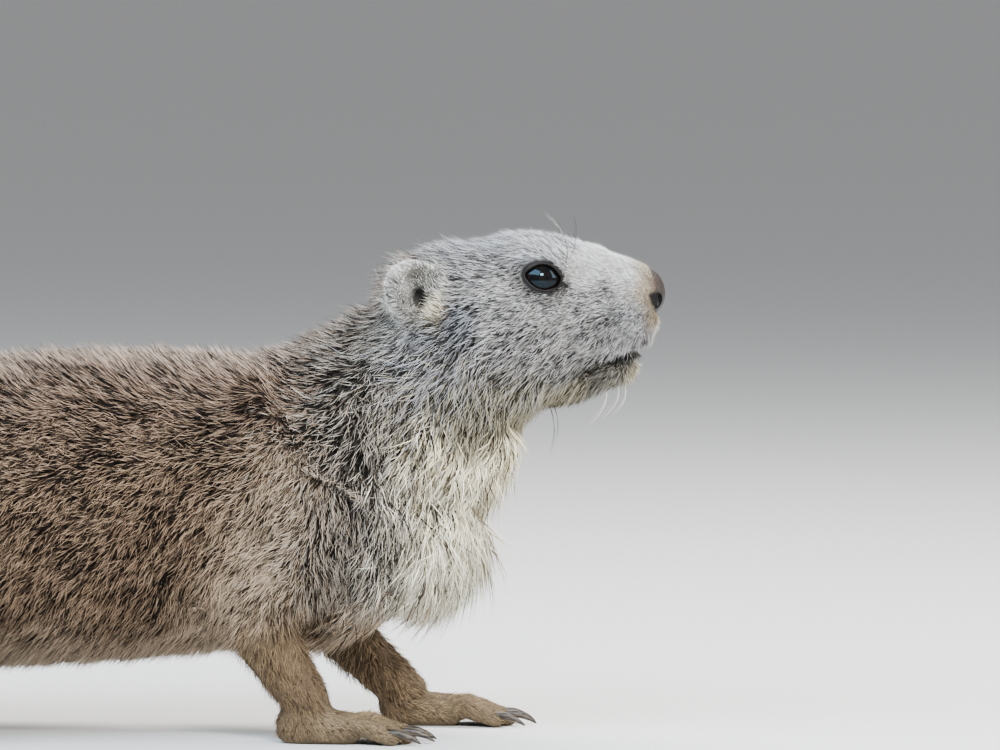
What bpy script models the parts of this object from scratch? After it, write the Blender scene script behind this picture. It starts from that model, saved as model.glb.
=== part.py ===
"""A young alpine marmot as a still, life-size model, standing on all fours with its head raised.

The tables give sizes in millimetres and the meshes are in metres. X points to the nose, Y to the
animal's left and Z up, and the floor is z = 0. The sizes reach the outside of the coat.
"""

import math
import random
from typing import NamedTuple

import bmesh
import bpy
import numpy as np
from mathutils import Euler, Matrix, Vector
from mathutils.bvhtree import BVHTree

MM = 0.001
GAP = 0.3  # between nodes that touch
FLOOR = 0.0
SOLE_SINK = 1.0  # how far the soles are modelled under the floor before they are trimmed flat
VOXEL = 1.2  # grid that fuses the flesh into one skin
SMOOTHING = 12  # passes that blend one form into the next
BODY_SMOOTHING = 60  # further passes where only broad forms are wanted
RING_SIDES = 32
SQUARENESS = 2.25  # of the trunk's and the skull's slices, where 2 is an ellipse
HEAD_TRIANGLES = 1500
BODY_TRIANGLES = 3100
BLOCK_OVERLAP = 8.0  # how far the head block and the body block run past the cut between them
LEFT, RIGHT = 1, -1
SIDE_NAMES = {LEFT: "left", RIGHT: "right"}


class Section(NamedTuple):
    """One upright slice: its place along the body, its heights and its half width."""

    x: float
    top: float
    widest: float
    bottom: float
    half_width: float


class Knot(NamedTuple):
    """One point of a limb's middle line, with the half thickness across and fore and aft."""

    x: float
    y: float
    z: float
    across: float
    deep: float


class Mass(NamedTuple):
    """An ellipsoid of muscle, fat or coat: its middle, half sizes and degrees that its front rises.

    Its y is the left one's, and 0 on the midline.
    """

    x: float
    y: float
    z: float
    long: float
    wide: float
    high: float
    pitch: float = 0.0


class Cut(NamedTuple):
    """An upright plane across the body from a point on the back to one on the underside."""

    top_x: float
    top_z: float
    bottom_x: float
    bottom_z: float


TORSO = (
    Section(-264, 84, 68, 54, 10),
    Section(-259, 93, 68, 45, 24),
    Section(-247, 102, 68, 37, 37),
    Section(-225, 111.5, 68, 30, 48),
    Section(-194, 119.5, 68, 26, 55),
    Section(-158, 125.5, 68, 23.5, 57),
    Section(-121, 129, 69, 23, 55),
    Section(-85, 131.3, 71, 24.5, 51),
    Section(-50, 131, 75, 27, 47),
    Section(-20, 129.5, 79, 30, 43.5),
    Section(8, 124, 80, 35, 39),
    Section(26, 114, 80, 43, 31),
    Section(38, 103, 80, 54, 21),
    Section(45, 92, 79, 66, 9),
)
SKULL = (
    Section(13, 147, 133, 118, 17),
    Section(18, 154, 134, 112, 24.5),
    Section(26, 160.5, 135, 107, 30),
    Section(36, 165.2, 135, 104.5, 32.5),
    Section(48, 168.6, 135, 104, 32.5),
    Section(60, 171.4, 136, 106, 30),
    Section(71, 171.8, 138, 110, 26.5),
    Section(82, 169.4, 141, 116, 21.5),
    Section(92, 166, 143, 121, 18.8),
    Section(100, 163.2, 145, 126, 16.6),
    Section(106, 160.8, 147, 132, 14),
    Section(110.5, 157.4, 149, 138, 10.5),
    Section(113.4, 153, 149.5, 145, 6),
)
NECK = (
    Knot(-36, 0, 82, 43, 42),
    Knot(-2, 0, 94, 40, 41),
    Knot(27, 0, 113, 34, 37),
    Knot(50, 0, 136, 28, 31),
)
MASSES = {
    "cheek": Mass(44, 17.5, 124, 21, 16, 20),
    "jaw_muscle": Mass(60, 14, 122, 20, 13, 15, 14),
    "brow": Mass(69, 13.5, 160.5, 17, 10.5, 8.5, -6),
    "crown": Mass(38, 0, 155, 22, 22, 13, 12),
    "nose_bridge": Mass(94, 0, 155.5, 18, 9.5, 8.5, -20),
    "nose_tip": Mass(106.2, 0, 152.2, 7.6, 9.2, 7.4),
    "lip_pad": Mass(101.5, 6.4, 138.6, 9.6, 8.4, 9),
    "chin": Mass(96, 0, 123, 10, 8.4, 5.6, 14),
    "lower_jaw": Mass(77, 0, 119.5, 24, 13, 8.5, 15),
    "throat": Mass(50, 0, 108, 17, 19, 12, 18),
    "chest": Mass(22.5, 0, 74, 26, 30, 31, 26),
    "shoulder": Mass(-12, 27, 88, 36, 19, 42, -20),
    "haunch": Mass(-187, 33, 70, 54, 26, 44, -20),
}
HEAD_CUT = Cut(13, 152, 66, 96)
NECK_CUT = Cut(-22, 131, 14, 30)
TAIL_CUT = Cut(-261, 96, -279, 42)

LEG_LEAD = {  # how far each leg is ahead of its middle place in the stride
    "fore": {LEFT: 17, RIGHT: -17},
    "hind": {LEFT: -9, RIGHT: 11},
}
FORE_LEG = (
    Knot(2, 24, 88, 17, 28),
    Knot(-6, 32, 64, 15, 22),
    Knot(-13, 35, 43, 12, 15),
    Knot(-4, 34, 28, 10, 11),
    Knot(6, 32.5, 16, 8.8, 9),
    Knot(11, 32, 9, 8.4, 7.6),
)
HIND_LEG = (
    Knot(-201, 26, 86, 26, 40),
    Knot(-183, 35, 64, 23, 38),
    Knot(-155, 41, 47, 17, 25),
    Knot(-161, 41, 34, 14, 19),
    Knot(-184, 40, 22, 10, 12.5),
    Knot(-199, 39, 12, 8.4, 9),
)


class Foot(NamedTuple):
    """A paw: its sole from back to front, and its toes from the inner to the outer one."""

    sole: tuple
    knuckle_z: float
    toe_radius: float
    toe_spread: tuple
    toe_length: tuple
    toe_turn: tuple
    claw_length: float


FORE_FOOT = Foot(
    sole=(
        Knot(5, 32, 6.5, 6.8, 6.8),
        Knot(12, 32, 6.2, 8.6, 6.8),
        Knot(21, 32, 5.8, 10, 6.2),
        Knot(27, 32, 5.4, 9.8, 5.6),
    ),
    knuckle_z=7.6,
    toe_radius=3.8,
    toe_spread=(-7.8, -2.7, 2.7, 7.6),
    toe_length=(13, 16.5, 16, 12),
    toe_turn=(-13, -4, 4, 14),
    claw_length=10,
)
HIND_FOOT = Foot(
    sole=(
        Knot(-207, 39, 6.6, 6.8, 6.8),
        Knot(-199, 39, 6.8, 8, 7.6),
        Knot(-183, 39.5, 6.2, 8.8, 7),
        Knot(-165, 40.5, 5.8, 10.4, 6.4),
        Knot(-155, 41, 5.4, 11, 5.6),
    ),
    knuckle_z=7.4,
    toe_radius=3.8,
    toe_spread=(-9.8, -4.9, 0, 4.9, 9.6),
    toe_length=(12, 15.5, 17, 16, 11.5),
    toe_turn=(-14, -6, 0, 6, 15),
    claw_length=8,
)


class Arch(NamedTuple):
    """The outline that parts a leg from the body: half an ellipse over a foot of its own width."""

    x: float
    half_width: float
    spring_z: float
    top: float
    foot_back: float
    foot_front: float


LEG_ARCHES = {
    ("fore", LEFT): Arch(4, 33, 46, 94, 4, 76),
    ("fore", RIGHT): Arch(-10, 33, 46, 94, -44, 44),
    ("hind", LEFT): Arch(-186, 55, 48, 101, -229, -119),
    ("hind", RIGHT): Arch(-180, 55, 48, 101, -211, -101),
}
LEG_INNER_Y, LEG_INNER_LEAN = 17.5, 0.13  # the cut beside the belly, and how it leans out upward
ARCH_FOOT = 16  # height up to which the outline keeps the foot's width
WRIST_CUT = {"fore": Cut(-400, 17, 400, 17), "hind": Cut(-400, 19, 400, 19)}

EYE = Vector((71, 17.6, 155.8))
EYE_RADIUS = 7.8
EYE_YAW, EYE_RISE = 12, 8  # degrees that the eye looks forward and up from straight sideways
LID_THICKNESS = 1.3
LID_OPENING = (6.2, 4.6)
LID_POINT = 0.3  # how pointed the corners of the eye are
LID_TILT = 10  # degrees that the front corner of the eye lies lower

EAR = Vector((29.5, 27.5, 151.5))
EAR_OUTER = (11, 6.6, 10.6)
EAR_HOLLOW = (7, 5, 7.4)
EAR_HOLLOW_SHIFT = (2.4, 3.5, -1)
EAR_TURN = (4, 8, -30)  # degrees about X, Y and Z that turn the cup to the side and forward

NOSE_PAD = Mass(109.2, 0, 149, 4.4, 7.6, 6, 10)
NOSTRIL = Mass(111.4, 4.4, 148.8, 4.2, 1.5, 2.7, 10)
NOSTRIL_TURN = 26
MOUTH_FRONT, MOUTH_CORNER = (118, 131.6), (86, 123.4)
MOUTH_OPENING = 2.6
MOUTH_FLOOR = Mass(84, 0, 127, 15.5, 9.5, 12)
PHILTRUM_WIDTH = 0.9

TAIL = (
    Knot(-246, 0, 76, 22, 22),
    Knot(-268, 0, 68.5, 16, 16),
    Knot(-292, 0, 58.5, 10.2, 10.2),
    Knot(-320, 0, 47, 8.6, 8.6),
    Knot(-341, 0, 38.8, 7.2, 7.2),
    Knot(-356, 0, 33.4, 5, 5),
    Knot(-363, 0, 31, 2.5, 2.5),
)


class Coat(NamedTuple):
    """Locks of long hair: their sizes, how deep they root, and how they stand off at the root."""

    length: float
    width: float
    thickness: float
    sink: float
    lift: float
    settling: float  # share of the lift that is gone at the tip


STEEPEST = 0.92  # a lock is left out where the lie runs this straight into or out of the skin


class Root(NamedTuple):
    """Where a lock grows: a ray from inside the body, the lie of the coat and its extra lift."""

    centre: Vector
    way: Vector
    lie: Vector
    lift: float


RUFF = Coat(length=24, width=11.5, thickness=1.7, sink=3.2, lift=27, settling=0.95)
RUFF_X = 8  # the locks of each row are spread round an upright line through here
RUFF_LOW, RUFF_HIGH, RUFF_ROWS = 46, 97, 6  # heights of the lowest and highest row, and rows
RUFF_SCATTER = 2.2  # how far a root lies above or below its row
RUFF_SEED, BRUSH_SEED = 3, 12
RUFF_SIDE = 78  # degrees that the ruff reaches round from the front
RUFF_SPACING = 9.6  # along a row
RUFF_RADIUS = (28, 42)  # about how far the chest stands from that line at the lowest and highest
THROAT_LIFT = 20  # more than the chest's, at the throat
CHEST_LIE, THROAT_LIE = -0.5, 0.2  # how far the lie points ahead for its way down

BRUSH = Coat(length=34, width=15, thickness=1.9, sink=3, lift=37, settling=0.85)
BRUSH_START, BRUSH_END, BRUSH_ROWS = 0.15, 0.95, 6  # shares of the tail's line, and rows
BRUSH_SPACING = 14.5  # around the tail
TIP_LIFT = -20  # less than the tail's, at its tip

COLOURS = {  # base colour and roughness
    "coat_back": ((0.30, 0.24, 0.19), 0.85),
    "coat_head": ((0.36, 0.34, 0.33), 0.85),
    "coat_throat": ((0.62, 0.56, 0.46), 0.85),
    "coat_legs": ((0.45, 0.37, 0.28), 0.85),
    "coat_tail": ((0.22, 0.17, 0.13), 0.85),
    "nose": ((0.05, 0.045, 0.045), 0.45),
    "eye": ((0.012, 0.010, 0.010), 0.05),
    "claw": ((0.08, 0.065, 0.055), 0.4),
}


def clear_scene():
    for obj in list(bpy.data.objects):
        bpy.data.objects.remove(obj)


def link(name, mesh):
    obj = bpy.data.objects.new(name, mesh)
    bpy.context.scene.collection.objects.link(obj)
    return obj


def object_from(bm, name):
    """Turns a bmesh into an object, with its faces pointing out."""
    bmesh.ops.recalc_face_normals(bm, faces=bm.faces)
    mesh = bpy.data.meshes.new(name)
    bm.to_mesh(mesh)
    bm.free()
    return link(name, mesh)


def through(rows, steps):
    """A smooth curve through rows of numbers, with this many steps from one row to the next."""
    rows = np.array(rows, float)
    padded = np.vstack([2 * rows[0] - rows[1], rows, 2 * rows[-1] - rows[-2]])
    made = []
    for i in range(1, len(rows)):
        before, start, end, after = padded[i - 1 : i + 3]
        for t in np.arange(steps) / steps:
            bend = 2 * before - 5 * start + 4 * end - after
            twist = -before + 3 * start - 3 * end + after
            made.append(0.5 * (2 * start + (end - before) * t + bend * t**2 + twist * t**3))
    made.append(rows[-1])
    return np.array(made)


def loft(name, rings):
    """Skins rings of equal length, in millimetres, into one closed tube with flat ends.

    The last ring may be a single point.
    """
    bm = bmesh.new()
    made = [[bm.verts.new(Vector(p) * MM) for p in ring] for ring in rings]
    pointed = len(made[-1]) == 1
    for ring, following in zip(made, made[1:]):
        for k in range(len(ring)):
            nxt = (k + 1) % len(ring)
            if len(following) == 1:
                bm.faces.new((ring[k], ring[nxt], following[0]))
            else:
                bm.faces.new((ring[k], ring[nxt], following[nxt], following[k]))
    bm.faces.new(made[0])
    if not pointed:
        bm.faces.new(made[-1])
    return object_from(bm, name)


def section_ring(x, top, widest, bottom, half_width):
    """An egg-shaped upright ring, a little squarer than an ellipse."""
    ring = []
    for angle in np.arange(RING_SIDES) * 2 * math.pi / RING_SIDES:
        across, up = math.cos(angle), math.sin(angle)
        reach = top - widest if up > 0 else widest - bottom
        y = half_width * math.copysign(abs(across) ** (2 / SQUARENESS), across)
        ring.append((x, y, widest + reach * math.copysign(abs(up) ** (2 / SQUARENESS), up)))
    return ring


def body_form(name, sections):
    return loft(name, [section_ring(*row) for row in through(sections, 4)])


def limb(name, knots, sides=RING_SIDES, steps=4):
    """A bent limb, with each ring square to the middle line."""
    rows = through(knots, steps)
    ways = np.gradient(rows[:, :3], axis=0)
    rings = []
    for row, way in zip(rows, ways):
        along = Vector(way).normalized()
        across = (Vector((0, 1, 0)) - along * along.y).normalized()
        deep = along.cross(across)
        ring = []
        for angle in np.arange(sides) * 2 * math.pi / sides:
            out = across * row[3] * math.cos(angle) + deep * row[4] * math.sin(angle)
            ring.append(Vector(row[:3]) + out)
        rings.append(ring)
    return loft(name, rings)


def ball(name, centre, radii, turn=(0, 0, 0), segments=32, rings=16):
    """An ellipsoid. The turn is in degrees about X, Y and Z."""
    bm = bmesh.new()
    place = Matrix.Translation(Vector(centre) * MM)
    spin = Euler([math.radians(a) for a in turn]).to_matrix().to_4x4()
    size = Matrix.Diagonal([r * MM for r in radii] + [1])
    bmesh.ops.create_uvsphere(
        bm, u_segments=segments, v_segments=rings, radius=1, matrix=place @ spin @ size
    )
    return object_from(bm, name)


def prism(name, outline, low, high):
    """Extrudes an outline in X and Z along Y, between two heights that may lean with z."""
    return loft(name, [[(x, low(z), z) for x, z in outline], [(x, high(z), z) for x, z in outline]])


def slab(cut, side, shift=0.0):
    """A block that fills one side of a cut: 1 ahead of it, -1 behind it, its face moved that way."""
    top, bottom = Vector((cut.top_x, 0, cut.top_z)), Vector((cut.bottom_x, 0, cut.bottom_z))
    down = (bottom - top).normalized()
    ahead = Vector((-down.z, 0, down.x)) * side
    reach = 900
    start = top + ahead * shift
    corners = [start - down * reach, start + down * reach]
    corners += [c + ahead * reach for c in reversed(corners)]
    return prism("slab", [(c.x, c.z) for c in corners], lambda z: -reach, lambda z: reach)


def settle(obj):
    """Applies the object's modifiers."""
    graph = bpy.context.evaluated_depsgraph_get()
    mesh = bpy.data.meshes.new_from_object(obj.evaluated_get(graph))
    obj.modifiers.clear()
    obj.data = mesh
    return obj


def copy_of(obj, name):
    return link(name, obj.data.copy())


def mirrored(obj, name):
    """A copy on the other side of the animal."""
    twin = copy_of(obj, name)
    twin.data.transform(Matrix.Scale(-1, 4, (0, 1, 0)))
    twin.data.flip_normals()
    return twin


def both_sides(obj):
    return [obj, mirrored(obj, obj.name)]


def combine(obj, others, operation, solver="EXACT"):
    """One Boolean of an object with a list of others, which are used up."""
    group = bpy.data.collections.new("pieces")
    bpy.context.scene.collection.children.link(group)
    for other in others:
        group.objects.link(other)
    modifier = obj.modifiers.new("combine", "BOOLEAN")
    modifier.operand_type = "COLLECTION"
    modifier.collection = group
    modifier.operation = operation
    modifier.solver = solver
    settle(obj)
    for other in others:
        bpy.data.objects.remove(other)
    bpy.data.collections.remove(group)
    return largest(obj)


def largest(obj):
    """Keeps only the closed surface that holds the most, which drops loose scraps."""
    bm = bmesh.new()
    bm.from_mesh(obj.data)
    bmesh.ops.dissolve_degenerate(bm, dist=0.002 * MM, edges=bm.edges)
    bmesh.ops.triangulate(bm, faces=bm.faces)
    left, islands = set(bm.faces), []
    while left:
        front = [left.pop()]
        island = set(front)
        while front:
            for edge in front.pop().edges:
                fresh = [f for f in edge.link_faces if f in left]
                left.difference_update(fresh)
                island.update(fresh)
                front += fresh
        islands.append(island)
    if len(islands) > 1:
        keep = max(islands, key=enclosed)
        bmesh.ops.delete(bm, geom=[f for f in bm.faces if f not in keep], context="FACES")
        bmesh.ops.delete(bm, geom=[v for v in bm.verts if not v.link_faces], context="VERTS")
    bm.to_mesh(obj.data)
    bm.free()
    return obj


def enclosed(faces):
    """The volume inside a closed set of triangles."""
    total = 0.0
    for face in faces:
        a, b, c = (v.co for v in face.verts)
        total += a.dot(b.cross(c)) / 6
    return total


def joined(name, forms):
    """Puts forms into one mesh, as they are."""
    bm = bmesh.new()
    for form in forms:
        bm.from_mesh(form.data)
        bpy.data.objects.remove(form)
    mesh = bpy.data.meshes.new(name)
    bm.to_mesh(mesh)
    bm.free()
    return link(name, mesh)


def ramp(value, start, end):
    """Rises smoothly from 0 at the start to 1 at the end."""
    t = min(1.0, max(0.0, (value - start) / (end - start)))
    return t * t * (3 - 2 * t)


def broadness(point):
    """How much a place may be evened out: the trunk fully, the head a little, the paws not."""
    x, z = point.x / MM, point.z / MM
    on_head = ramp(x, -4, 26) * ramp(z - 0.6 * x, 76, 100)
    return ramp(z, 16, 38) * (1 - on_head * (0.7 + 0.3 * ramp(x, 74, 92)))


def fused(name, forms):
    """Melts overlapping forms into one smooth skin."""
    obj = joined(name, forms)
    remesh = obj.modifiers.new("fuse", "REMESH")
    remesh.mode = "VOXEL"
    remesh.voxel_size = VOXEL * MM
    settle(obj)
    bands = {}
    for vertex in obj.data.vertices:
        bands.setdefault(round(broadness(vertex.co) * 20), []).append(vertex.index)
    group = obj.vertex_groups.new(name="broad")
    for band, members in bands.items():
        group.add(members, band / 20, "REPLACE")
    for label, passes in (("blend", SMOOTHING), ("broaden", BODY_SMOOTHING)):
        smooth = obj.modifiers.new(label, "SMOOTH")
        smooth.factor = 0.5
        smooth.iterations = passes
    smooth.vertex_group = group.name
    settle(obj)
    obj.vertex_groups.clear()
    return obj


def between(obj, back, front):
    """Keeps what lies between two cuts, with half a gap to each. Either may be None."""
    if back:
        combine(obj, [slab(back, -1, -GAP / 2)], "DIFFERENCE")
    if front:
        combine(obj, [slab(front, 1, -GAP / 2)], "DIFFERENCE")
    return obj


def thinned(obj, triangles):
    """Lowers the triangle count, keeping more of them where the surface bends."""
    obj.data.calc_loop_triangles()
    modifier = obj.modifiers.new("thin", "DECIMATE")
    modifier.ratio = triangles / len(obj.data.loop_triangles)
    return settle(obj)


def mass_form(mass, side=LEFT, turn=0.0, grow=0.0, **detail):
    """The ellipsoid of one mass. The turn is in degrees about Z on the left side."""
    centre = (mass.x, side * mass.y, mass.z)
    radii = (mass.long + grow, mass.wide + grow, mass.high + grow)
    return ball("mass", centre, radii, (0, -mass.pitch, side * turn), **detail)


def placed(knots, side, lead, fade=1.0):
    """Knots moved to one side and ahead, with the first knot moved by only a share of the lead."""
    made = []
    for i, k in enumerate(knots):
        share = fade + (1 - fade) * i / (len(knots) - 1)
        made.append(Knot(k.x + lead * share, side * k.y, k.z, k.across, k.deep))
    return made


def toe_knots(foot, side, lead, index):
    """The middle line of one toe, from inside the paw over its knuckle to its tip."""
    front = foot.sole[-1]
    turn = math.radians(foot.toe_turn[index])
    tip_radius = foot.toe_radius * 0.85
    rows = (  # share of the toe's length, height and radius
        (-0.35, foot.knuckle_z - 1, foot.toe_radius),
        (0.2, foot.knuckle_z - 0.4, foot.toe_radius * 1.1),
        (0.62, 5.2, foot.toe_radius),
        (1, tip_radius, tip_radius),
    )
    made = []
    for share, height, radius in rows:
        reach = share * foot.toe_length[index]
        x = front.x + lead + reach * math.cos(turn)
        y = side * (front.y + foot.toe_spread[index] + reach * math.sin(turn))
        made.append(Knot(x, y, height - SOLE_SINK * 0.6, radius, radius))
    return made


def foot_forms(foot, side, lead):
    sole = [k._replace(z=k.z - SOLE_SINK * 0.6) for k in placed(foot.sole, side, lead)]
    heel = sole[0]
    forms = [limb("sole", sole), ball("heel", heel[:3], [heel.across] * 3)]
    for index in range(len(foot.toe_length)):
        knots = toe_knots(foot, side, lead, index)
        tip = knots[-1]
        forms.append(limb("toe", knots, 16, 3))
        forms.append(ball("toe_tip", tip[:3], (tip.across * 1.15, tip.across, tip.deep)))
    return forms


def flesh():
    """The whole body as one smooth skin, without ears, claws or locks."""
    forms = [body_form("torso", TORSO), body_form("skull", SKULL)]
    forms += [limb("neck", NECK), limb("tail", TAIL)]
    for mass in MASSES.values():
        for side in (LEFT, RIGHT) if mass.y else (LEFT,):
            forms.append(mass_form(mass, side))
    for side in (LEFT, RIGHT):
        forms.append(limb("fore_leg", placed(FORE_LEG, side, LEG_LEAD["fore"][side], 0.25)))
        forms.append(limb("hind_leg", placed(HIND_LEG, side, LEG_LEAD["hind"][side], 0.25)))
        forms += foot_forms(FORE_FOOT, side, LEG_LEAD["fore"][side])
        forms += foot_forms(HIND_FOOT, side, LEG_LEAD["hind"][side])
    return fused("flesh", forms)


def arch_cutter(arch, side, grow=0.0):
    """The block that parts one leg from the body, larger all round by the given length."""
    outline = [(arch.foot_back - grow, -30), (arch.foot_back - grow, ARCH_FOOT)]
    for angle in np.linspace(math.pi, 0, 25):
        x = arch.x + (arch.half_width + grow) * math.cos(angle)
        outline.append((x, arch.spring_z + (arch.top + grow - arch.spring_z) * math.sin(angle)))
    outline += [(arch.foot_front + grow, ARCH_FOOT), (arch.foot_front + grow, -30)]

    def inner(z):
        return side * (LEG_INNER_Y - grow + LEG_INNER_LEAN * z)

    return prism("arch", outline, inner, lambda z: side * 200)


def along_eye(forward, up, out):
    """A point of the left eye's own frame: forward, up and out from its middle."""
    yaw, rise = math.radians(EYE_YAW), math.radians(EYE_RISE)
    axis = Vector((math.sin(yaw) * math.cos(rise), math.cos(yaw) * math.cos(rise), math.sin(rise)))
    ahead = Vector((math.cos(yaw), -math.sin(yaw), 0))
    tilt = math.radians(-LID_TILT)
    upward = ahead.cross(axis).normalized()
    turned = ahead * math.cos(tilt) + upward * math.sin(tilt)
    lifted = upward * math.cos(tilt) - ahead * math.sin(tilt)
    return EYE + turned * forward + lifted * up + axis * out


def lid_opening():
    """The almond-shaped block that opens the left eye's lids."""
    rings = []
    for out in (0.5, 20):
        ring = []
        for angle in np.arange(28) * 2 * math.pi / 28:
            high = math.sin(angle)
            high *= abs(high) ** LID_POINT
            ring.append(along_eye(LID_OPENING[0] * math.cos(angle), LID_OPENING[1] * high, out))
        rings.append(ring)
    return loft("opening", rings)


def eyeball(name, grow=0.0):
    return ball(name, EYE, [EYE_RADIUS + grow] * 3, segments=16, rings=10)


def mouth_cutter():
    """The line of the mouth, which runs from side to side but stays near the surface."""
    (fx, fz), (cx, cz) = MOUTH_FRONT, MOUTH_CORNER
    outline = [(fx, fz + MOUTH_OPENING / 2), (cx, cz + 0.25), (cx - 2, cz - 1.6)]
    outline += [(cx + 1, cz - 0.7), (fx, fz - MOUTH_OPENING / 2)]
    line = prism("mouth", outline, lambda z: -40, lambda z: 40)
    return combine(line, [mass_form(MOUTH_FLOOR, segments=20, rings=12)], "DIFFERENCE")


def philtrum_cutter():
    half = PHILTRUM_WIDTH / 2
    outline = [(120, 128), (120, 146), (109.5, 145), (107, 134), (103, 128)]
    return prism("philtrum", outline, lambda z: -half, lambda z: half)


def ear(name):
    """The left ear: a low round cup that opens to the side and forward."""
    cup = ball(name, EAR, EAR_OUTER, EAR_TURN, segments=18, rings=10)
    turn = Euler([math.radians(a) for a in EAR_TURN]).to_matrix()
    centre = EAR + turn @ Vector(EAR_HOLLOW_SHIFT)
    return combine(cup, [ball("hollow", centre, EAR_HOLLOW, EAR_TURN, 14, 8)], "DIFFERENCE")


def ear_socket():
    return ball("socket", EAR, [r + GAP for r in EAR_OUTER], EAR_TURN, 18, 10)


def nose():
    pad = mass_form(NOSE_PAD, segments=16, rings=10)
    nostrils = [mass_form(NOSTRIL, s, NOSTRIL_TURN, segments=10, rings=6) for s in (LEFT, RIGHT)]
    combine(pad, nostrils, "DIFFERENCE")
    pad.name = "nose"
    return pad


def head(block):
    """Gives the head block its lids, mouth and the sockets for eyes, ears and nose."""
    between(block, HEAD_CUT, None)
    combine(block, both_sides(eyeball("lids", GAP + LID_THICKNESS)), "UNION")
    cutters = both_sides(eyeball("socket", GAP)) + both_sides(lid_opening())
    cutters += both_sides(ear_socket())
    cutters += [mass_form(NOSE_PAD, grow=GAP, segments=16, rings=10)]
    combine(block, cutters, "DIFFERENCE")
    combine(block, [mouth_cutter()], "DIFFERENCE")
    combine(block, [philtrum_cutter()], "DIFFERENCE")
    block.name = "head"
    return block


def claw(name, knots, length, grow=0.0):
    """A curved claw that starts inside the toe whose middle line is given."""
    root, tip = Vector(knots[-2][:3]), Vector(knots[-1][:3])
    way = (tip - root) * Vector((1, 1, 0))
    way.normalize()
    rows = (  # length ahead of the toe's tip, height and radius
        (-2.5, 4.0, 1.35),
        (1.2, 4.3, 1.5),
        (0.4 * length, 3.9, 1.25),
        (0.75 * length, 2.6, 0.85),
        (length, 0.9, 0.3),
    )
    made = []
    for ahead, height, radius in rows:
        place = tip + way * (ahead - (grow if ahead < 0 else 0))
        made.append(Knot(place.x, place.y, height, radius + grow, radius * 1.15 + grow))
    return limb(name, made, 6, 1)


def paw_and_claws(block, foot, kind, side):
    """Trims a paw flat under its sole and fits its claws."""
    word, lead = SIDE_NAMES[side], LEG_LEAD[kind][side]
    claws, sockets = [], []
    for index in range(len(foot.toe_length)):
        knots = toe_knots(foot, side, lead, index)
        claws.append(claw(f"claw_{kind}_{word}_{index + 1}", knots, foot.claw_length))
        sockets.append(claw("socket", knots, foot.claw_length, GAP))
    combine(block, [slab(Cut(-600, FLOOR, 600, FLOOR), -1)] + sockets, "DIFFERENCE")
    block.name = f"paw_{kind}_{word}"
    return [block] + claws


def limbs(body):
    """Parts the four legs and paws from the body block."""
    made, holes = [], []
    for (kind, side), arch in LEG_ARCHES.items():
        leg = combine(copy_of(body, "leg"), [arch_cutter(arch, side)], "INTERSECT")
        cut = WRIST_CUT[kind]
        paw = combine(copy_of(leg, "paw"), [slab(cut, 1, -GAP / 2)], "DIFFERENCE")
        combine(leg, [slab(cut, -1, -GAP / 2)], "DIFFERENCE")
        leg.name = f"leg_{kind}_{SIDE_NAMES[side]}"
        foot = FORE_FOOT if kind == "fore" else HIND_FOOT
        made.append(leg)
        made += paw_and_claws(paw, foot, kind, side)
        holes.append(arch_cutter(arch, side, GAP))
    combine(body, holes, "DIFFERENCE")
    return made


def lock(coat, root, normal, lie, draw, shortening=1.0, grow=0.0):
    """One flat, tapered lock that rises from the skin and bends back along the lie of the coat."""
    stretch, breadth, swing, rise = draw
    length = coat.length * shortening * stretch + coat.sink
    width = coat.width * (0.5 + 0.5 * shortening) * breadth + 2 * grow
    along = (lie - normal * lie.dot(normal)).normalized()
    along = (Matrix.Rotation(math.radians(swing), 3, normal) @ along).normalized()
    across = along.cross(normal)
    place = root - normal * coat.sink - along * coat.sink * 0.5
    rings, reached = [], 0.0
    for share, broad, thick in ((0, 0.75, 1), (0.34, 1, 1), (0.7, 0.68, 0.75)):
        angle = math.radians(coat.lift + rise) * (1 - coat.settling * share)
        way = along * math.cos(angle) + normal * math.sin(angle)
        place = place + way * (share - reached) * length
        reached = share
        flat = across * broad * width / 2
        deep = way.cross(across) * (thick * coat.thickness / 2 + grow)
        rings.append([place + flat, place + deep, place - flat, place - deep])
    rings.append([place + way * (1 - reached) * length])
    return loft("lock", rings)


def surface_of(obj):
    """A search tree of an object's surface, in millimetres."""
    points = [v.co / MM for v in obj.data.vertices]
    return BVHTree.FromPolygons(points, [tuple(p.vertices) for p in obj.data.polygons])


def clear_lock(neighbours, *settings):
    """The longest lock that keeps clear of the neighbours, or none where even a short one can't."""
    for shortening in (1, 0.85, 0.7, 0.55):
        trial = lock(*settings, shortening, 2 * GAP)
        lowest = min(v.co.z for v in trial.data.vertices) / MM
        touches = any(surface_of(trial).overlap(other) for other in neighbours)
        bpy.data.objects.remove(trial)
        if not touches and lowest > FLOOR + 1:
            return lock(*settings, shortening)
    return None


def seen_from(surface, centre, direction):
    """The outermost place and normal of a surface along a ray from inside it."""
    place, normal, _, _ = surface.ray_cast(centre + direction * 200, -direction)
    return place, normal


def grown(obj, coat, roots, neighbours, seed):
    """Sets locks on a node and melts them into it."""
    surface, others = surface_of(obj), [surface_of(n) for n in neighbours]
    draws = random.Random(seed)
    locks = []
    for root in roots:
        draw = [draws.uniform(0.88, 1.12), draws.uniform(0.88, 1.12)]
        draw += [draws.uniform(-9, 9), root.lift + draws.uniform(-4, 4)]
        place, normal = seen_from(surface, root.centre, root.way)
        if place and abs(normal.dot(root.lie.normalized())) < STEEPEST:
            locks.append(clear_lock(others, coat, place, normal, root.lie, draw))
    return combine(obj, [made for made in locks if made], "UNION")


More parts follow.
